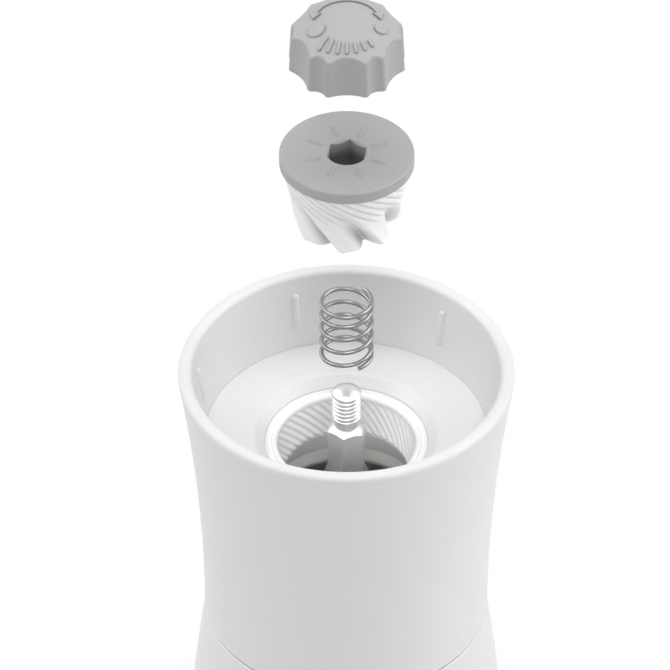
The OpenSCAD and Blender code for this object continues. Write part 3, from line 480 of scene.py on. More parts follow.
def fired_alumina(name, painted_shade_tone=None):
    """Pressed and fired alumina, unglazed: a chalky white with a sugary grain and soft edges.
    The rotor's has painted shade, which greys it deep between its lobes."""
    made, tree, shader, place = material(name)
    grained(tree, shader, place, "#FBFBFB", "#F7F7F6", 3.0, 0.22, 0.012, (0.4, 0.5))
    shader.inputs["IOR"].default_value = 1.76
    shader.inputs["Subsurface Weight"].default_value = 0.1
    shader.inputs["Subsurface Radius"].default_value = (1.0, 1.0, 1.0)
    shader.inputs["Subsurface Scale"].default_value = 0.5 * MM
    if painted_shade_tone:
        # painted shade between the rotor's lobes
        painted_recess_shade(tree, shader, painted_shade_tone, 5.0)
    return made


def drawn_spring_steel():
    """Drawn spring wire: a mid grey shine with a slight unevenness of tone."""
    made, tree, shader, place = material("drawn_spring_steel")
    grained(tree, shader, place, "#969697", "#8A8A8B", 2.0, 0.25, 0.001, (0.22, 0.3))
    shader.inputs["Metallic"].default_value = 1.0
    return made


def turned_steel():
    """Stainless bar, drawn and turned: bright, with reflections a little blurred."""
    made, tree, shader, place = material("turned_steel")
    grained(tree, shader, place, "#E0E0E1", "#D6D6D7", 2.5, 0.25, 0.001, (0.32, 0.4))
    shader.inputs["Metallic"].default_value = 1.0
    return made


def turned_brass():
    """Turned brass of the knob's bush: a warm yellow shine with a slight unevenness of tone."""
    made, tree, shader, place = material("turned_brass")
    grained(tree, shader, place, "#C8A25A", "#B8924C", 2.5, 0.25, 0.004, (0.2, 0.32))
    shader.inputs["Metallic"].default_value = 1.0
    return made


def nitrile_rubber():
    """Black nitrile rubber: dull, with a moulding bloom."""
    made, tree, shader, place = material("nitrile_rubber")
    grained(tree, shader, place, "#2B2B2B", "#212121", 4.0, 0.3, 0.02, (0.7, 0.85))
    shader.inputs["IOR"].default_value = 1.52
    return made


WHITE = satin_white_abs()
INNER = natural_polypropylene()
GREY = matt_grey_abs()
BEARING = natural_acetal()
HUB = hub_painted_shade()
CERAMIC = fired_alumina("fired_alumina")
# the rotor's alumina carries painted shade between its lobes
ROTOR_CERAMIC = fired_alumina("fired_alumina_rotor", "#8A8A8A")
WIRE = drawn_spring_steel()
STEEL = turned_steel()
BRASS = turned_brass()
RUBBER = nitrile_rubber()

TEETH = teeth_tree()
RING = ring_tree()
COIL = spring_tree()


def handed_over(obj, paint, body, slot, *nodes):
    """Gives a finished piece its paint and its body, and hides the nodes that it stands for. The
    slot is not used.
    """
    obj.data.materials.clear()
    obj.data.materials.append(paint)
    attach(obj, body)
    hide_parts(*nodes)
    return obj


def ringed(name, bm, count, turn, paint):
    """Copies of a bmesh, evenly round the axis."""
    values = {"Count": count, "Turn": math.radians(turn)}
    return grown(placed(name, bm), RING, values, paint)


# ---------------------------------------------------------------- shells
def leaning_round(r, z, radius, lean, outward, count=6):
    """The rounded corner of a rim at (r, z), whose wall leans out by lean degrees."""
    s = math.radians(lean)
    inset = radius * (1 + math.sin(s)) / math.cos(s)
    centre = (r - outward * inset, z - radius)
    if outward > 0:
        return arc(*centre, radius, -lean, 90, count)
    return arc(*centre, radius, 90, 180 + lean, count)


def upper_shell():
    """The upper outer shell, with its rounded rim, tapered mouth and ledge."""
    height = RIM_Z - WAIST_Z
    sweep = (height**2 + (RIM_R - WAIST_R) ** 2) / (2 * (RIM_R - WAIST_R))

    def outside(z, wall=0.0):
        return WAIST_R + sweep - math.sqrt((sweep + wall) ** 2 - (z - WAIST_Z) ** 2)

    lean = math.degrees(math.asin(height / sweep))
    taper = math.degrees(math.atan2(MOUTH_R - FLOOR_R, RIM_Z - PLATE_TOP))
    plate_z = PLATE_TOP - PLATE_T
    below = plate_z - LEDGE_H
    flank_top = RIM_Z - 1.5
    inner = [(outside(z, SHELL_WALL), z) for z in steps(below, SEAM_Z, 16)]
    profile = [(outside(z), z) for z in steps(SEAM_Z + SEAM_BEVEL, flank_top, 40)]
    profile += leaning_round(RIM_R, RIM_Z, RIM_ROUND, lean, 1, 8)
    profile += leaning_round(MOUTH_R, RIM_Z, RIM_ROUND, -taper, -1, 8)
    profile += [(FLOOR_R, PLATE_TOP), (FLOOR_R, plate_z)]
    profile += [(FLOOR_R - LEDGE_W, plate_z), (FLOOR_R - LEDGE_W, below)]
    profile += inner
    profile += [(WAIST_R - SEAM_BEVEL, SEAM_Z)]
    shell = turned("upper_shell_body", profile, SHELL_COLUMNS)

    rib_r = RIB_W / 2
    bar = bmesh.new()
    bmesh.ops.create_uvsphere(bar, u_segments=20, v_segments=12, radius=rib_r * MM)
    order = Vector((1, 3, 7))  # puts the ball's corners and faces in one order, the same each run
    bar.verts.sort(key=lambda vert: vert.co.dot(order))
    bar.faces.sort(key=lambda face: face.calc_center_median().dot(order))
    for vert in bar.verts:
        vert.co.z += (RIB_L / 2 - rib_r) * MM * (1 if vert.co.z > 0 else -1)
    wall_r = MOUTH_R - (RIB_TOP + RIB_L / 2) * math.tan(math.radians(taper))
    lean_over = Matrix.Rotation(math.radians(taper), 4, "Y")
    where = Matrix.Translation(
        Vector((wall_r - RIB_PROUD + rib_r, 0, RIM_Z - RIB_TOP - RIB_L / 2)) * MM
    )
    bmesh.ops.transform(bar, matrix=where @ lean_over, verts=bar.verts)
    ribs = ringed("ribs", bar, RIB_COUNT, RIB_TURN, WHITE)
    shell = smooth(joined("upper_shell", [shell, ribs]))
    return handed_over(shell, WHITE, "housing", "shell_plastic", "housing_shell")


def lower_shell():
    """The lower outer shell, which swells from the seam to the foot."""
    sweep = (WAIST_Z**2 + (FOOT_R - WAIST_R) ** 2) / (2 * (FOOT_R - WAIST_R))

    def outside(z, wall=0.0):
        return FOOT_R - sweep + math.sqrt((sweep - wall) ** 2 - z**2)

    coupling_z = node_mm("coupling_ring")[0][2]
    ledge_h, ledge_w = 2, 1.1
    ledge_z = coupling_z - ledge_h
    ledge_r = WAIST_R - SHELL_WALL - ledge_w
    plate_h, stop_h, stop_w = 2.9, 1.6, 1.2
    stop_z = node_mm("base_plate")[1][2] - plate_h
    stop_r = outside(stop_z) - SHELL_WALL - stop_w
    stop_top = stop_z + stop_h
    profile = arc(
        outside(FOOT_Z) - FOOT_ROUND, FOOT_Z + FOOT_ROUND, FOOT_ROUND, -90, 0, 8
    )
    profile += [(outside(z), z) for z in steps(FOOT_Z + FOOT_ROUND + 1, WAIST_Z - SEAM_BEVEL, 48)]
    profile += [(WAIST_R - SEAM_BEVEL, WAIST_Z), (outside(WAIST_Z, SHELL_WALL), WAIST_Z)]
    profile += [(outside(coupling_z, SHELL_WALL), coupling_z), (ledge_r, coupling_z)]
    profile += [(ledge_r, ledge_z), (outside(ledge_z, SHELL_WALL), ledge_z)]
    profile += [(outside(z, SHELL_WALL), z) for z in steps(ledge_z - 1, stop_top + 1, 16)]
    profile += [(outside(stop_top, SHELL_WALL), stop_top), (stop_r, stop_top)]
    profile += [(stop_r, stop_z), (outside(stop_z, SHELL_WALL), stop_z)]
    profile += [(outside(FOOT_Z, SHELL_WALL), FOOT_Z)]
    shell = smooth(turned("lower_shell", profile, SHELL_COLUMNS))
    return handed_over(shell, WHITE, "base", "shell_plastic", "base_shell")


def screw_boss(top_z):
    """One boss of the plate, open below for its screw and closed above it."""
    sides = 32
    tip_z = node_mm("spider_screws")[1][2] + FIT_GAP
    rings = [(BOSS_R, top_z), (BOSS_R, SEAT_Z), (SCREW_HOLE_R, SEAT_Z), (SCREW_HOLE_R, tip_z)]
    turns = [2 * math.pi * i / sides for i in range(sides)]
    boss = bmesh.new()
    loops = [
        [
            boss.verts.new(Vector((BOSS_RING_R + r * math.cos(t), r * math.sin(t), z)) * MM)
            for t in turns
        ]
        for r, z in rings
    ]
    for first, second in zip(loops, loops[1:]):
        for i in range(sides):
            j = (i + 1) % sides
            boss.faces.new((first[i], first[j], second[j], second[i]))
    boss.faces.new(loops[0])
    boss.faces.new(loops[-1])
    bmesh.ops.recalc_face_normals(boss, faces=boss.faces)
    return boss


def plate():
    """The floor of the mouth: a flat plate with a shallow dish and the stator's tube."""
    bore_r = STATOR_R + FINE_GAP
    step_z = PLATE_TOP - DISH_DEPTH
    edge_r = FLOOR_R - FINE_GAP
    flange_r = STATOR_FLANGE_R + FIT_GAP
    flange_z = STATOR_BOTTOM + STATOR_FLANGE_H + FIT_GAP
    tube_r = flange_r + TUBE_WALL
    under = PLATE_TOP - PLATE_T
    slope = math.degrees(math.atan2(DISH_DEPTH, DISH_SLOPE))
    soft, rim_soft, overlap = 1.4, 0.1, 0.1
    chamfer_w, chamfer_h = 0.05, 0.2
    tangent = soft * math.tan(math.radians(slope / 2))
    profile = [(bore_r, step_z - chamfer_h), (bore_r + chamfer_w, step_z)]
    profile += arc(DISH_R + tangent, PLATE_TOP - soft, soft, 90 + slope, 90, 8)
    profile += arc(edge_r - rim_soft, PLATE_TOP - rim_soft, rim_soft, 90, 0, 3)
    profile += [(edge_r, under), (tube_r, under), (tube_r, SEAT_Z)]
    profile += [(flange_r, SEAT_Z), (flange_r, flange_z), (bore_r, flange_z)]
    disc = turned("plate_disc", profile, SHELL_COLUMNS)
    posts = ringed("posts", screw_boss(under + overlap), BOSS_COUNT, BOSS_TURN, WHITE)
    floor = smooth(joined("mouth_floor", [disc, posts]))
    return handed_over(floor, WHITE, "housing", "shell_plastic", "mill_plate")


# ---------------------------------------------------------------- grinder
def stator():
    """The ceramic ring: a rounded top edge and a toothed cone that opens again at the foot."""
    throat_z = STATOR_TOP - STATOR_THROAT_DEPTH
    lip, foot_bevel = 0.95, 0.3
    groove_r0, groove_r1, groove_z = 15.2, 15.9, STATOR_TOP - 0.6
    inner_round, outer_round = 0.35, 0.15  # of the groove's two edges
    round_z = STATOR_TOP - inner_round
    wall = [
        (
            STATOR_TOP_R + (STATOR_THROAT_R - STATOR_TOP_R) * f,
            STATOR_TOP - lip + (throat_z - STATOR_TOP + lip) * f,
        )
        for f in steps(0, 1, 40)
    ]
    lower = [
        (
            STATOR_THROAT_R + (STATOR_FOOT_R - STATOR_THROAT_R) * f,
            throat_z + (STATOR_BOTTOM - throat_z) * f,
        )
        for f in steps(0.2, 1, 4)
    ]
    profile = wall + lower
    profile += [(STATOR_FLANGE_R - foot_bevel, STATOR_BOTTOM)]
    profile += [(STATOR_FLANGE_R, STATOR_BOTTOM + foot_bevel)]
    profile += [(STATOR_FLANGE_R, STATOR_BOTTOM + STATOR_FLANGE_H)]
    profile += [(STATOR_R, STATOR_BOTTOM + STATOR_FLANGE_H)]
    profile += arc(STATOR_R - outer_round, round_z, outer_round, 0, 90, 4)
    profile += arc(groove_r1 + outer_round, round_z, outer_round, 90, 180, 4)
    profile += [(groove_r1 - 0.1, groove_z), (groove_r0, groove_z)]
    profile += arc(groove_r0 - inner_round, round_z, inner_round, 0, 90, 4)
    profile += arc(STATOR_TOP_R + lip, STATOR_TOP - lip, lip, 90, 176, 10)
    ring = turned(
        "stator",
        profile,
        STATOR_TEETH * STATOR_TOOTH_COLUMNS,
        toothed=lambda r, z: r < STATOR_TOP_R + 0.4 and z > STATOR_BOTTOM + 0.1,
    )
    values = {
        "Teeth": STATOR_TEETH,
        "Turn": 0.0,
        "Twist": math.radians(STATOR_TWIST) / MM,
        "Depth": -STATOR_TOOTH * MM,
        "Sharpness": 2.0,
        "Skew": 0.0,
        "Start": STATOR_BOTTOM * MM,
        "Full": throat_z * MM,
        "Level": (STATOR_TOP - 1.6) * MM,
        "End": (STATOR_TOP - 0.9) * MM,
    }
    ring = smooth(grown(ring, TEETH, values, CERAMIC), 60)
    return handed_over(ring, CERAMIC, "housing", "ceramic", "stator_ring")


def hexagon(angle, across_flats):
    """Distance from the axis to the side of the shaft's hexagon, in direction angle."""
    turn = (math.degrees(angle) - HEX_TURN) % 60 - 30
    return across_flats / 2 / math.cos(math.radians(turn))


def rotor():
    """The ceramic cone: fine teeth under the cap, seven deep lobes below, a chamber inside."""
    hole = HUB_AF
    fine_z = ROTOR_TOP - ROTOR_FINE_H

    def envelope(z):
        if z > fine_z:
            return ROTOR_TOP_R + (ROTOR_MID_R - ROTOR_TOP_R) * (ROTOR_TOP - z) / ROTOR_FINE_H
        part = (fine_z - z) / (fine_z - ROTOR_BOTTOM)
        return ROTOR_MID_R + (ROTOR_BOTTOM_R - ROTOR_MID_R) * part

    edge, bevel = 0.6, 0.1
    profile = [(envelope(z), z) for z in steps(ROTOR_TOP, ROTOR_BOTTOM + edge, 72)]
    profile += arc(ROTOR_BOTTOM_R - edge, ROTOR_BOTTOM + edge, edge, 0, -90, 5)
    profile += [(CHAMBER_R + bevel, ROTOR_BOTTOM), (CHAMBER_R, ROTOR_BOTTOM + bevel)]
    profile += [(CHAMBER_R, ROTOR_BOTTOM + CHAMBER_H), (hole / 2, ROTOR_BOTTOM + CHAMBER_H)]
    profile += [(hole / 2, ROTOR_TOP)]

    def reach(angle, r, z):
        return hexagon(angle, hole) if r == hole / 2 else r

    cone = turned(
        "rotor",
        profile,
        ROTOR_TEETH * ROTOR_TOOTH_COLUMNS,
        reach,
        toothed=lambda r, z: r > ROTOR_BOTTOM_R - 0.7,
    )
    lobe_twist = -math.radians(LOBE_TWIST) / MM
    tooth_twist = -math.radians(TOOTH_TWIST) / MM
    lobes = {
        "Teeth": LOBES,
        "Turn": math.radians(LOBE_TURN) - lobe_twist * ROTOR_BOTTOM * MM,
        "Twist": lobe_twist,
        "Depth": VALLEY * MM,
        "Sharpness": 0.8,
        "Skew": LOBE_SKEW,
        "Start": (ROTOR_BOTTOM - 1) * MM,
        "Full": ROTOR_BOTTOM * MM,
        "Level": (ROTOR_BOTTOM + 1.0) * MM,
        "End": (ROTOR_TOP - 1.0) * MM,
    }
    teeth = {
        "Teeth": ROTOR_TEETH,
        "Turn": math.radians(LOBE_TURN) - tooth_twist * ROTOR_BOTTOM * MM,
        "Twist": tooth_twist,
        "Depth": ROTOR_TOOTH * MM,
        "Sharpness": 2.6,
        "Skew": 0.5,
        "Start": (fine_z - 1.0) * MM,
        "Full": (fine_z + 2.5) * MM,
        "Level": (ROTOR_TOP + 1) * MM,
        "End": (ROTOR_TOP + 2) * MM,
    }
    cone = grown(cone, TEETH, lobes, ROTOR_CERAMIC)
    cone = smooth(grown(cone, TEETH, teeth, ROTOR_CERAMIC), 60)
    return handed_over(cone, ROTOR_CERAMIC, "rotor", "ceramic", "rotor_cone")


def cap():
    """The grey disc on the rotor, with eight raised marks and a hexagonal hub in the ceramic."""
    hole = HEX_AF + 2 * HEX_GAP
    bottom = CAP_TOP - CAP_T
    hub_bottom = ROTOR_BOTTOM + CHAMBER_H
    hub = HUB_AF - 2 * FINE_GAP
    mouth_r = HEX_AF / 2 + SINK_SLOPE * CAP_SINK
    foot_bevel = 0.2
    profile = [(hole / 2, hub_bottom), (hub / 2, hub_bottom), (hub / 2, bottom)]
    profile += [(CAP_R - foot_bevel, bottom), (CAP_R, bottom + foot_bevel)]
    profile += arc(CAP_R - CAP_ROUND, CAP_TOP - CAP_ROUND, CAP_ROUND, 0, 90, 8)
    profile += [(mouth_r + 0.1, CAP_TOP), (mouth_r, CAP_TOP - 0.06)]
    profile += [(mouth_r - SINK_SLOPE * d, CAP_TOP - d) for d in steps(0.1, CAP_SINK, 8)]

    def reach(angle, r, z):
        if r == hub / 2:
            return hexagon(angle, hub)
        return max(hexagon(angle, hole), r) if r < mouth_r else r

    disc = turned("cap_disc", profile, 360, reach)
    bar = bmesh.new()
    bmesh.ops.create_cube(bar, size=1)
    middle, length, sunk = (MARK_R0 + MARK_R1) / 2, MARK_R1 - MARK_R0, 0.1
    for vert in bar.verts:
        top = vert.co.z > 0
        vert.co.y *= MARK_W * (MARK_TOP_W if top else 1.0) * MM
        vert.co.x = (middle + vert.co.x * length * (MARK_TOP_L if top else 1)) * MM
        vert.co.z = (CAP_TOP + (MARK_H if top else -sunk)) * MM
    bmesh.ops.recalc_face_normals(bar, faces=bar.faces)
    marks = ringed("marks", bar, MARK_COUNT, MARK_TURN, GREY)
    disc = smooth(joined("rotor_disc", [disc, marks]), 40)
    disc = handed_over(disc, GREY, "rotor", "knob_plastic", "rotor_cap")
    # the walls of the hexagonal hole get the hub's painted shade
    disc.data.materials.append(HUB)
    hub_r, hub_top = 0.49 * HUB_AF * MM, (CAP_TOP - CAP_SINK) * MM
    for face in disc.data.polygons:
        inside = face.center.xy.length < hub_r and face.center.z < hub_top
        face.material_index = 1 if inside else 0
    return disc


# ---------------------------------------------------------------- shaft and spring
def shaft():
    """The steel shaft: domed tip, thread, neck, and a hexagon down to the drive socket."""
    thread_z = TIP_Z - THREAD_L
    neck_z = thread_z - NECK_L
    hex_top = neck_z - SHOULDER_H
    corner = HEX_AF / 2 / math.cos(math.pi / 6)
    ball = (THREAD_R**2 + TIP_DOME**2) / (2 * TIP_DOME)
    runout = 1.5  # radius gained for each millimetre up from the neck
    hair = 0.01  # keeps the two rings of a step apart

    def profile_radius(z):
        """The round the hexagon and the thread are cut from."""
        if z > TIP_Z - TIP_DOME:
            return math.sqrt(max(ball**2 - (z - TIP_Z + ball) ** 2, 0))
        if z > thread_z:
            return min(THREAD_R, NECK_R + (z - thread_z) * runout)
        if z > neck_z:
            return NECK_R
        if z > hex_top:
            return NECK_R + (corner - NECK_R) * (neck_z - z) / SHOULDER_H
        if CLIP_Z < z < CLIP_Z + CLIP_T:
            return GROOVE_R
        return corner + 1

    heights = steps(TIP_Z, thread_z - hair, 150)[1:]
    heights += steps(thread_z - 2 * hair, neck_z, 4)
    heights += steps(neck_z, hex_top - 0.3, 14)
    heights += [CLIP_Z + CLIP_T + hair, CLIP_Z + CLIP_T - hair]
    heights += [CLIP_Z + hair, CLIP_Z - hair, SHAFT_BOTTOM + 0.6, SHAFT_BOTTOM]
    profile = [(0, TIP_Z)] + [(profile_radius(z), z) for z in heights] + [(0, SHAFT_BOTTOM)]

    def reach(angle, r, z):
        return min(r, hexagon(angle, HEX_AF)) if z <= neck_z else r

    bar = turned(
        "shaft",
        profile,
        144,
        reach,
        toothed=lambda r, z: thread_z < z < TIP_Z - 0.1,
    )
    values = {
        "Teeth": 1.0,
        "Turn": 0.0,
        "Twist": 2 * math.pi / (THREAD_PITCH * MM),
        "Depth": THREAD_DEPTH * MM,
        "Sharpness": 1.3,
        "Skew": 0.0,
        "Start": thread_z * MM,
        "Full": (thread_z + 0.8) * MM,
        "Level": (TIP_Z - TIP_DOME - 0.6) * MM,
        "End": (TIP_Z - TIP_DOME + 0.2) * MM,
    }
    bar = smooth(grown(bar, TEETH, values, STEEL), 30)
    return handed_over(bar, STEEL, "shaft", "steel", "drive_shaft")


def spring():
    """The coil spring, wound at one fixed length."""
    seed = bpy.data.objects.new("rotor_spring", bpy.data.meshes.new("rotor_spring"))
    bpy.context.scene.collection.objects.link(seed)
    values = {
        "Radius": COIL_R * MM,
        "Wire": WIRE_D * MM,
        "Length": SPRING_L * MM,
        "Bottom": SPRING_BOTTOM * MM,
        "Turns": SPRING_TURNS,
        "Closed": CLOSED_TURNS,
        "Turn": math.radians(TAIL_TURN),
    }
    wire = grown(seed, COIL, values, WIRE)
    handed_over(wire, WIRE, "coil", "steel", "spring")
    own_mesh(wire)
    return wire


# ---------------------------------------------------------------- knob
def flute_reach(angle):
    """Radius of the fluted side in direction angle: wide and narrow flutes by turns."""
    reach = KNOB_R
    for k in range(2 * FLUTES):
        radius, depth = (WIDE_R, WIDE_DEPTH) if k % 2 == 0 else (NARROW_R, NARROW_DEPTH)
        turn = angle + math.pi / 2 - k * math.pi / FLUTES
        away = KNOB_R - depth + radius
        if math.cos(turn) > 0 and abs(away * math.sin(turn)) < radius:
            side = away * math.cos(turn) - math.sqrt(radius**2 - (away * math.sin(turn)) ** 2)
            reach = min(reach, side)
    return reach


def softened(reach, angle, width=0.045, taps=9):
    """The mean of a radius function near angle, which rounds its ridges."""
    near = steps(-width, width, taps - 1)
    return sum(reach(angle + d) for d in near) / taps


def knob_section():
    """Centre and radius of the dome, and of the rounding between the dome and the side."""
    ball_r = (KNOB_R**2 + KNOB_DOME_H**2) / (2 * KNOB_DOME_H)
    ball = Vector((0, KNOB_SIDE_H + KNOB_DOME_H - ball_r))
    draft = math.radians(KNOB_DRAFT)
    out = Vector((math.cos(draft), math.sin(draft)))
    up = Vector((-math.sin(draft), math.cos(draft)))
    base = Vector((KNOB_R, 0)) - KNOB_ROUND * out - ball
    rise = base.dot(up)
    along = -rise + math.sqrt(rise**2 - base.dot(base) + (ball_r - KNOB_ROUND) ** 2)
    return ball, ball_r, ball + base + along * up


BALL, BALL_R, EDGE = knob_section()


def dome_height(r):
    """Height of the knob's rounded top over its foot at radius r."""
    away = (EDGE - BALL).normalized()
    if r <= (BALL + BALL_R * away).x:
        return BALL.y + math.sqrt(BALL_R**2 - r**2)
    inside = max(KNOB_ROUND**2 - (r - EDGE.x) ** 2, 0)
    return EDGE.y + math.sqrt(inside)


def knob():
    """The fluted knob: a dome that each flute cuts in an arch, and a hollow underside."""
    columns = 720
    draft = math.tan(math.radians(KNOB_DRAFT))
    outline = [softened(flute_reach, 2 * math.pi * k / columns) for k in range(columns)]
    edge = 0.5
    foot_h, foot_inset = 0.15, 0.12

    def meeting(k):
        """Height at which the fluted side meets the rounded top."""
        low, high = 0.0, dome_height(0)
        for _ in range(30):
            middle = (low + high) / 2
            if dome_height(min(outline[k] - draft * middle, KNOB_R)) > middle:
                low = middle
            else:
                high = middle
        return low

    bm = bmesh.new()
    rows = []
    meet = [meeting(k) for k in range(columns)]
    rim = [outline[k] - draft * meet[k] for k in range(columns)]

    def ring(radius, height):
        row = []
        for k in range(columns):
            a = 2 * math.pi * k / columns
            x, y = radius(k) * math.cos(a), radius(k) * math.sin(a)
            row.append(bm.verts.new((x * MM, y * MM, (KNOB_Z + height(k)) * MM)))
        rows.append(row)

    for share in steps(0, 1, 24)[1:]:
        ring(
            lambda k: (rim[k] - edge) * share,
            lambda k: dome_height((rim[k] - edge) * share),
        )
    for turn in steps(70, 0, 5):
        a = math.radians(turn)
        ring(
            lambda k: rim[k] - edge * (1 - math.cos(a)),
            lambda k: dome_height(rim[k] - edge) - (1 - math.sin(a))
            * (dome_height(rim[k] - edge) - meet[k] + edge),
        )
    for share in steps(0.15, 1, 9):
        ring(
            lambda k: rim[k] + draft * ((meet[k] - edge) * share + edge),
            lambda k: (meet[k] - edge) * (1 - share) + foot_h * share,
        )
    ring(lambda k: outline[k] - foot_inset, lambda k: 0)
    under = [
        (HOLLOW_R1, 0), (HOLLOW_R1, HOLLOW_H), (HOLLOW_R0, HOLLOW_H), (HOLLOW_R0, 0),
        (FLANGE_BORE_R, 0), (FLANGE_BORE_R, FLANGE_BORE_H), (BOSS_BORE_R, FLANGE_BORE_H),
        (BOSS_BORE_R, INSERT_BORE_H), (TIP_BORE_R, INSERT_BORE_H), (TIP_BORE_R, TIP_BORE_H),
    ]
    for r, z in under:
        ring(lambda k: r, lambda k: z)
    for low, high in zip(rows, rows[1:]):
        for k in range(columns):
            n = (k + 1) % columns
            bm.faces.new((low[k], high[k], high[n], low[n]))
    top = bm.verts.new((0, 0, (KNOB_Z + dome_height(0)) * MM))
    ceiling = bm.verts.new((0, 0, (KNOB_Z + TIP_BORE_H) * MM))
    for k in range(columns):
        n = (k + 1) % columns
        bm.faces.new((top, rows[0][k], rows[0][n]))
        bm.faces.new((ceiling, rows[-1][n], rows[-1][k]))
    bmesh.ops.recalc_face_normals(bm, faces=bm.faces)
    return placed("knob_body", bm)


def raised(name, outline, height=0.45, slope=0.2):
    """A raised mark on the dome: outline is a closed list of (x, y), drawn in at its top."""
    bm = bmesh.new()
    count = len(outline)

    def loop(inset, lift):
        made = []
        for k in range(count):
            x, y = outline[k]
            before, after = outline[k - 1], outline[(k + 1) % count]
            along = Vector((after[0] - before[0], after[1] - before[1])).normalized()
            px, py = x - along.y * inset, y + along.x * inset
            z = KNOB_Z + dome_height(math.hypot(px, py)) + lift
            made.append(bm.verts.new((px * MM, py * MM, z * MM)))
        return made

    levels = [loop(0, -0.4), loop(0, height * 0.4), loop(slope * 0.35, height * 0.8)]
    levels.append(loop(slope, height))
    for low, high in zip(levels, levels[1:]):
        for k in range(count):
            n = (k + 1) % count
            bm.faces.new((low[k], low[n], high[n], high[k]))
    for ring in (levels[0], levels[-1]):
        for k in range((count - 1) // 2):
            across = [ring[k], ring[k + 1], ring[count - 2 - k], ring[count - 1 - k]]
            bm.faces.new(list(dict.fromkeys(across)))
    bmesh.ops.recalc_face_normals(bm, faces=bm.faces)
    return placed(name, bm)


def dot(angle, ring_r, diameter):
    """A round dot on the dome."""
    a = math.radians(angle)
    x, y = ring_r * math.cos(a), ring_r * math.sin(a)
    outline = [
        (x + diameter / 2 * math.cos(t), y + diameter / 2 * math.sin(t))
        for t in steps(0, 2 * math.pi, 32)[:-1]
    ]
    return raised("dot", outline)


def double_arrow(ring_r, start, end, width=0.8, head=2.1, head_w=2.4):
    """An arc with an arrowhead at each end."""
    def at(angle, r):
        a = math.radians(angle)
        return (r * math.cos(a), r * math.sin(a))

    turn = math.degrees(head / ring_r)
    angles = steps(start + 0.8 * turn, end - 0.8 * turn, 40)
    band = [at(a, ring_r + width / 2) for a in angles]
    band += [at(a, ring_r - width / 2) for a in reversed(angles)]
    parts = [raised("arc", band)]
    for tip, back in ((start, turn), (end, -turn)):
        wings = [at(tip + back, ring_r - side * head_w / 2) for side in (-1, 1)]
        corners = [at(tip, ring_r)] + (wings if back > 0 else wings[::-1])
        parts.append(raised("arrowhead", corners))
    return parts


def tick(angle, r0, r1, width=0.6):
    """A short radial stroke of the grind scale."""
    a = math.radians(angle)
    along, across = Vector((math.cos(a), math.sin(a))), Vector((-math.sin(a), math.cos(a)))
    corners = [(r0, -1), (r1, -1), (r1, 1), (r0, 1)]
    points = [along * r + across * s * width / 2 for r, s in corners]
    return raised("tick", [tuple(p) for p in points], slope=0.12)


def dressed_knob():
    """The knob with its raised turning arrow, its coarse and fine dots and a plain scale."""
    parts = [knob(), *double_arrow(ARROW_R, ARROW_START, ARROW_END)]
    parts += [dot(*place) for place in DOTS]
    for k in range(TICKS):
        angle = -90 + (k - TICKS // 2) * TICK_STEP
        length = TICK_L - TICK_LESS * k
        parts.append(tick(angle, TICK_R - length / 2, TICK_R + length / 2))
    body = smooth(joined("fluted_knob", parts), 40)
    return handed_over(body, GREY, "knob", "knob_plastic", "knob")


upper_shell()
lower_shell()
plate()
stator()
rotor()
cap()
shaft()
spring()
dressed_knob()

# ---------------------------------------------------------------- the nodes that stay
KEPT = {
    "foot_ring": RUBBER,
    "neck_seal": RUBBER,
    "base_plate": INNER,
    "pepper_cup": INNER,
    "coupling_ring": INNER,
    "hub_bush": INNER,
    "grain_funnel": INNER,
    "drive_bridge": BEARING,
    "bearing_spider": BEARING,
    "turning_sleeve": BEARING,
    "bridge_screws": STEEL,
    "spider_screws": STEEL,
    "thrust_washer": STEEL,
    "shaft_clip": STEEL,
    "knob_insert": BRASS,
}
for name, paint in KEPT.items():
    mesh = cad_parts[name].data
    mesh.materials.clear()
    mesh.materials.append(paint)

# ---------------------------------------------------------------- floor, light and camera
SCENE = bpy.context.scene
FRAME_PX = 670
MM_PER_PX = 0.2
CAMERA_LIFT = 39.8  # degrees above the horizon
CAMERA_AWAY = 1.6  # metres
FLOOR_R_M, FADE_FROM, FADE_TO = 3.0, 0.042, 0.082  # metres from the axis
AXIS_PX, RIM_PX = 346.5, 369.0  # where the mill's axis and the rim's centre fall
AMBIENT = 0.27  # strength of the surround as light
SOFTBOXES = [
    ("top_box", (0.0, 0.2, 1.3), 0.8, 3.8),
    ("high_front_box", (0.0, -0.7, 1.15), 0.6, 5.2),
    ("high_right_box", (0.85, 0.1, 1.05), 0.7, 2.9),
    ("high_left_box", (-0.85, 0.1, 1.05), 0.7, 4.1),
    ("right_box", (1.1, 0.1, 0.5), 0.8, 4.4),
    ("left_box", (-0.95, 0.65, 0.5), 0.8, 2.2),
]


def by_ray(tree, seen, rest):
    """seen for the camera, for reflections and through glass, and rest for the light that falls
    on things."""
    rays = add(tree, "ShaderNodeLightPath").outputs
    mirrored = {0: rays["Is Camera Ray"], 1: rays["Is Glossy Ray"]}
    direct = add(tree, MATH, mirrored, operation="MAXIMUM")
    looks = add(tree, MATH, {0: direct, 1: rays["Is Transmission Ray"]}, operation="MAXIMUM")
    ends = {"Factor": looks, "A": rest, "B": seen}
    return add(tree, "ShaderNodeMix", ends, data_type="FLOAT").outputs["Result"]


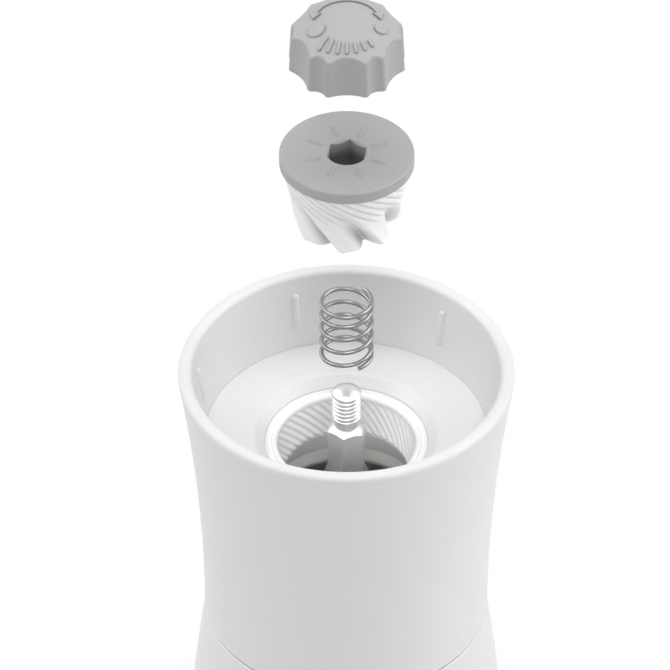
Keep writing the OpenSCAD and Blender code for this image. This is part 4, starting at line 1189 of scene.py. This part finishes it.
def floor():
    """A pale round floor that keeps the shadow near the mill and fades into the white behind."""
    bm = bmesh.new()
    bmesh.ops.create_circle(bm, cap_ends=True, segments=128, radius=FLOOR_R_M)
    disc = placed("floor", bm)
    made, tree, shader, place = material("pale_floor")
    shader.inputs["Base Color"].default_value = linear("#EDEDED")
    shader.inputs["Roughness"].default_value = 0.9
    away = add(tree, "ShaderNodeVectorMath", {0: place}, operation="LENGTH").outputs["Value"]
    fade = {"Value": away, "From Min": FADE_FROM, "From Max": FADE_TO}
    far = add(tree, "ShaderNodeMapRange", fade, interpolation_type="SMOOTHSTEP")
    share = add(tree, MATH, {0: by_ray(tree, 1.0, 0.0), 1: far}, operation="MULTIPLY")
    glow = add(tree, "ShaderNodeEmission", {"Strength": 1.0})
    blend = add(tree, "ShaderNodeMixShader", {0: share, 1: shader, 2: glow}).outputs[0]
    tree.links.new(blend, tree.nodes["Material Output"].inputs["Surface"])
    disc.data.materials.append(made)


def sky():
    """A white surround for what is seen or mirrored, and a softer one for the light it gives."""
    world = bpy.data.worlds.new("studio")
    world.use_nodes = True
    tree = world.node_tree
    shade = tree.nodes["Background"]
    shade.inputs["Color"].default_value = (1, 1, 1, 1)
    tree.links.new(by_ray(tree, 1.0, AMBIENT), shade.inputs["Strength"])
    SCENE.world = world


def softbox(name, place, size, watts):
    """A square softbox at place, turned to the mill's mouth."""
    lamp = bpy.data.lights.new(name, "AREA")
    lamp.shape = "SQUARE"
    lamp.size = size
    lamp.energy = watts
    box = bpy.data.objects.new(name, lamp)
    box.location = place
    aim = Vector((0, 0, RIM_Z * MM)) - Vector(place)
    box.rotation_euler = aim.to_track_quat("-Z", "Y").to_euler()
    SCENE.collection.objects.link(box)


def camera():
    """A long lens that looks down on the mouth from in front."""
    lens = bpy.data.cameras.new("camera")
    lens.sensor_width = 36
    lens.lens = lens.sensor_width * CAMERA_AWAY / (FRAME_PX * MM_PER_PX * MM)
    lens.clip_end = 20
    lift = math.radians(CAMERA_LIFT)
    middle = FRAME_PX / 2
    x = (middle - AXIS_PX) * MM_PER_PX * MM
    z = (RIM_Z + (RIM_PX - middle) * MM_PER_PX / math.cos(lift)) * MM
    target = Vector((x, 0, z))
    back = Vector((0, -math.cos(lift), math.sin(lift)))
    seat = bpy.data.objects.new("camera", lens)
    seat.location = target + back * CAMERA_AWAY
    seat.rotation_euler = (-back).to_track_quat("-Z", "Y").to_euler()
    SCENE.collection.objects.link(seat)
    SCENE.camera = seat


floor()
sky()
for name, place, size, watts in SOFTBOXES:
    softbox(name, place, size, watts)
camera()
SCENE.view_settings.view_transform = "Standard"
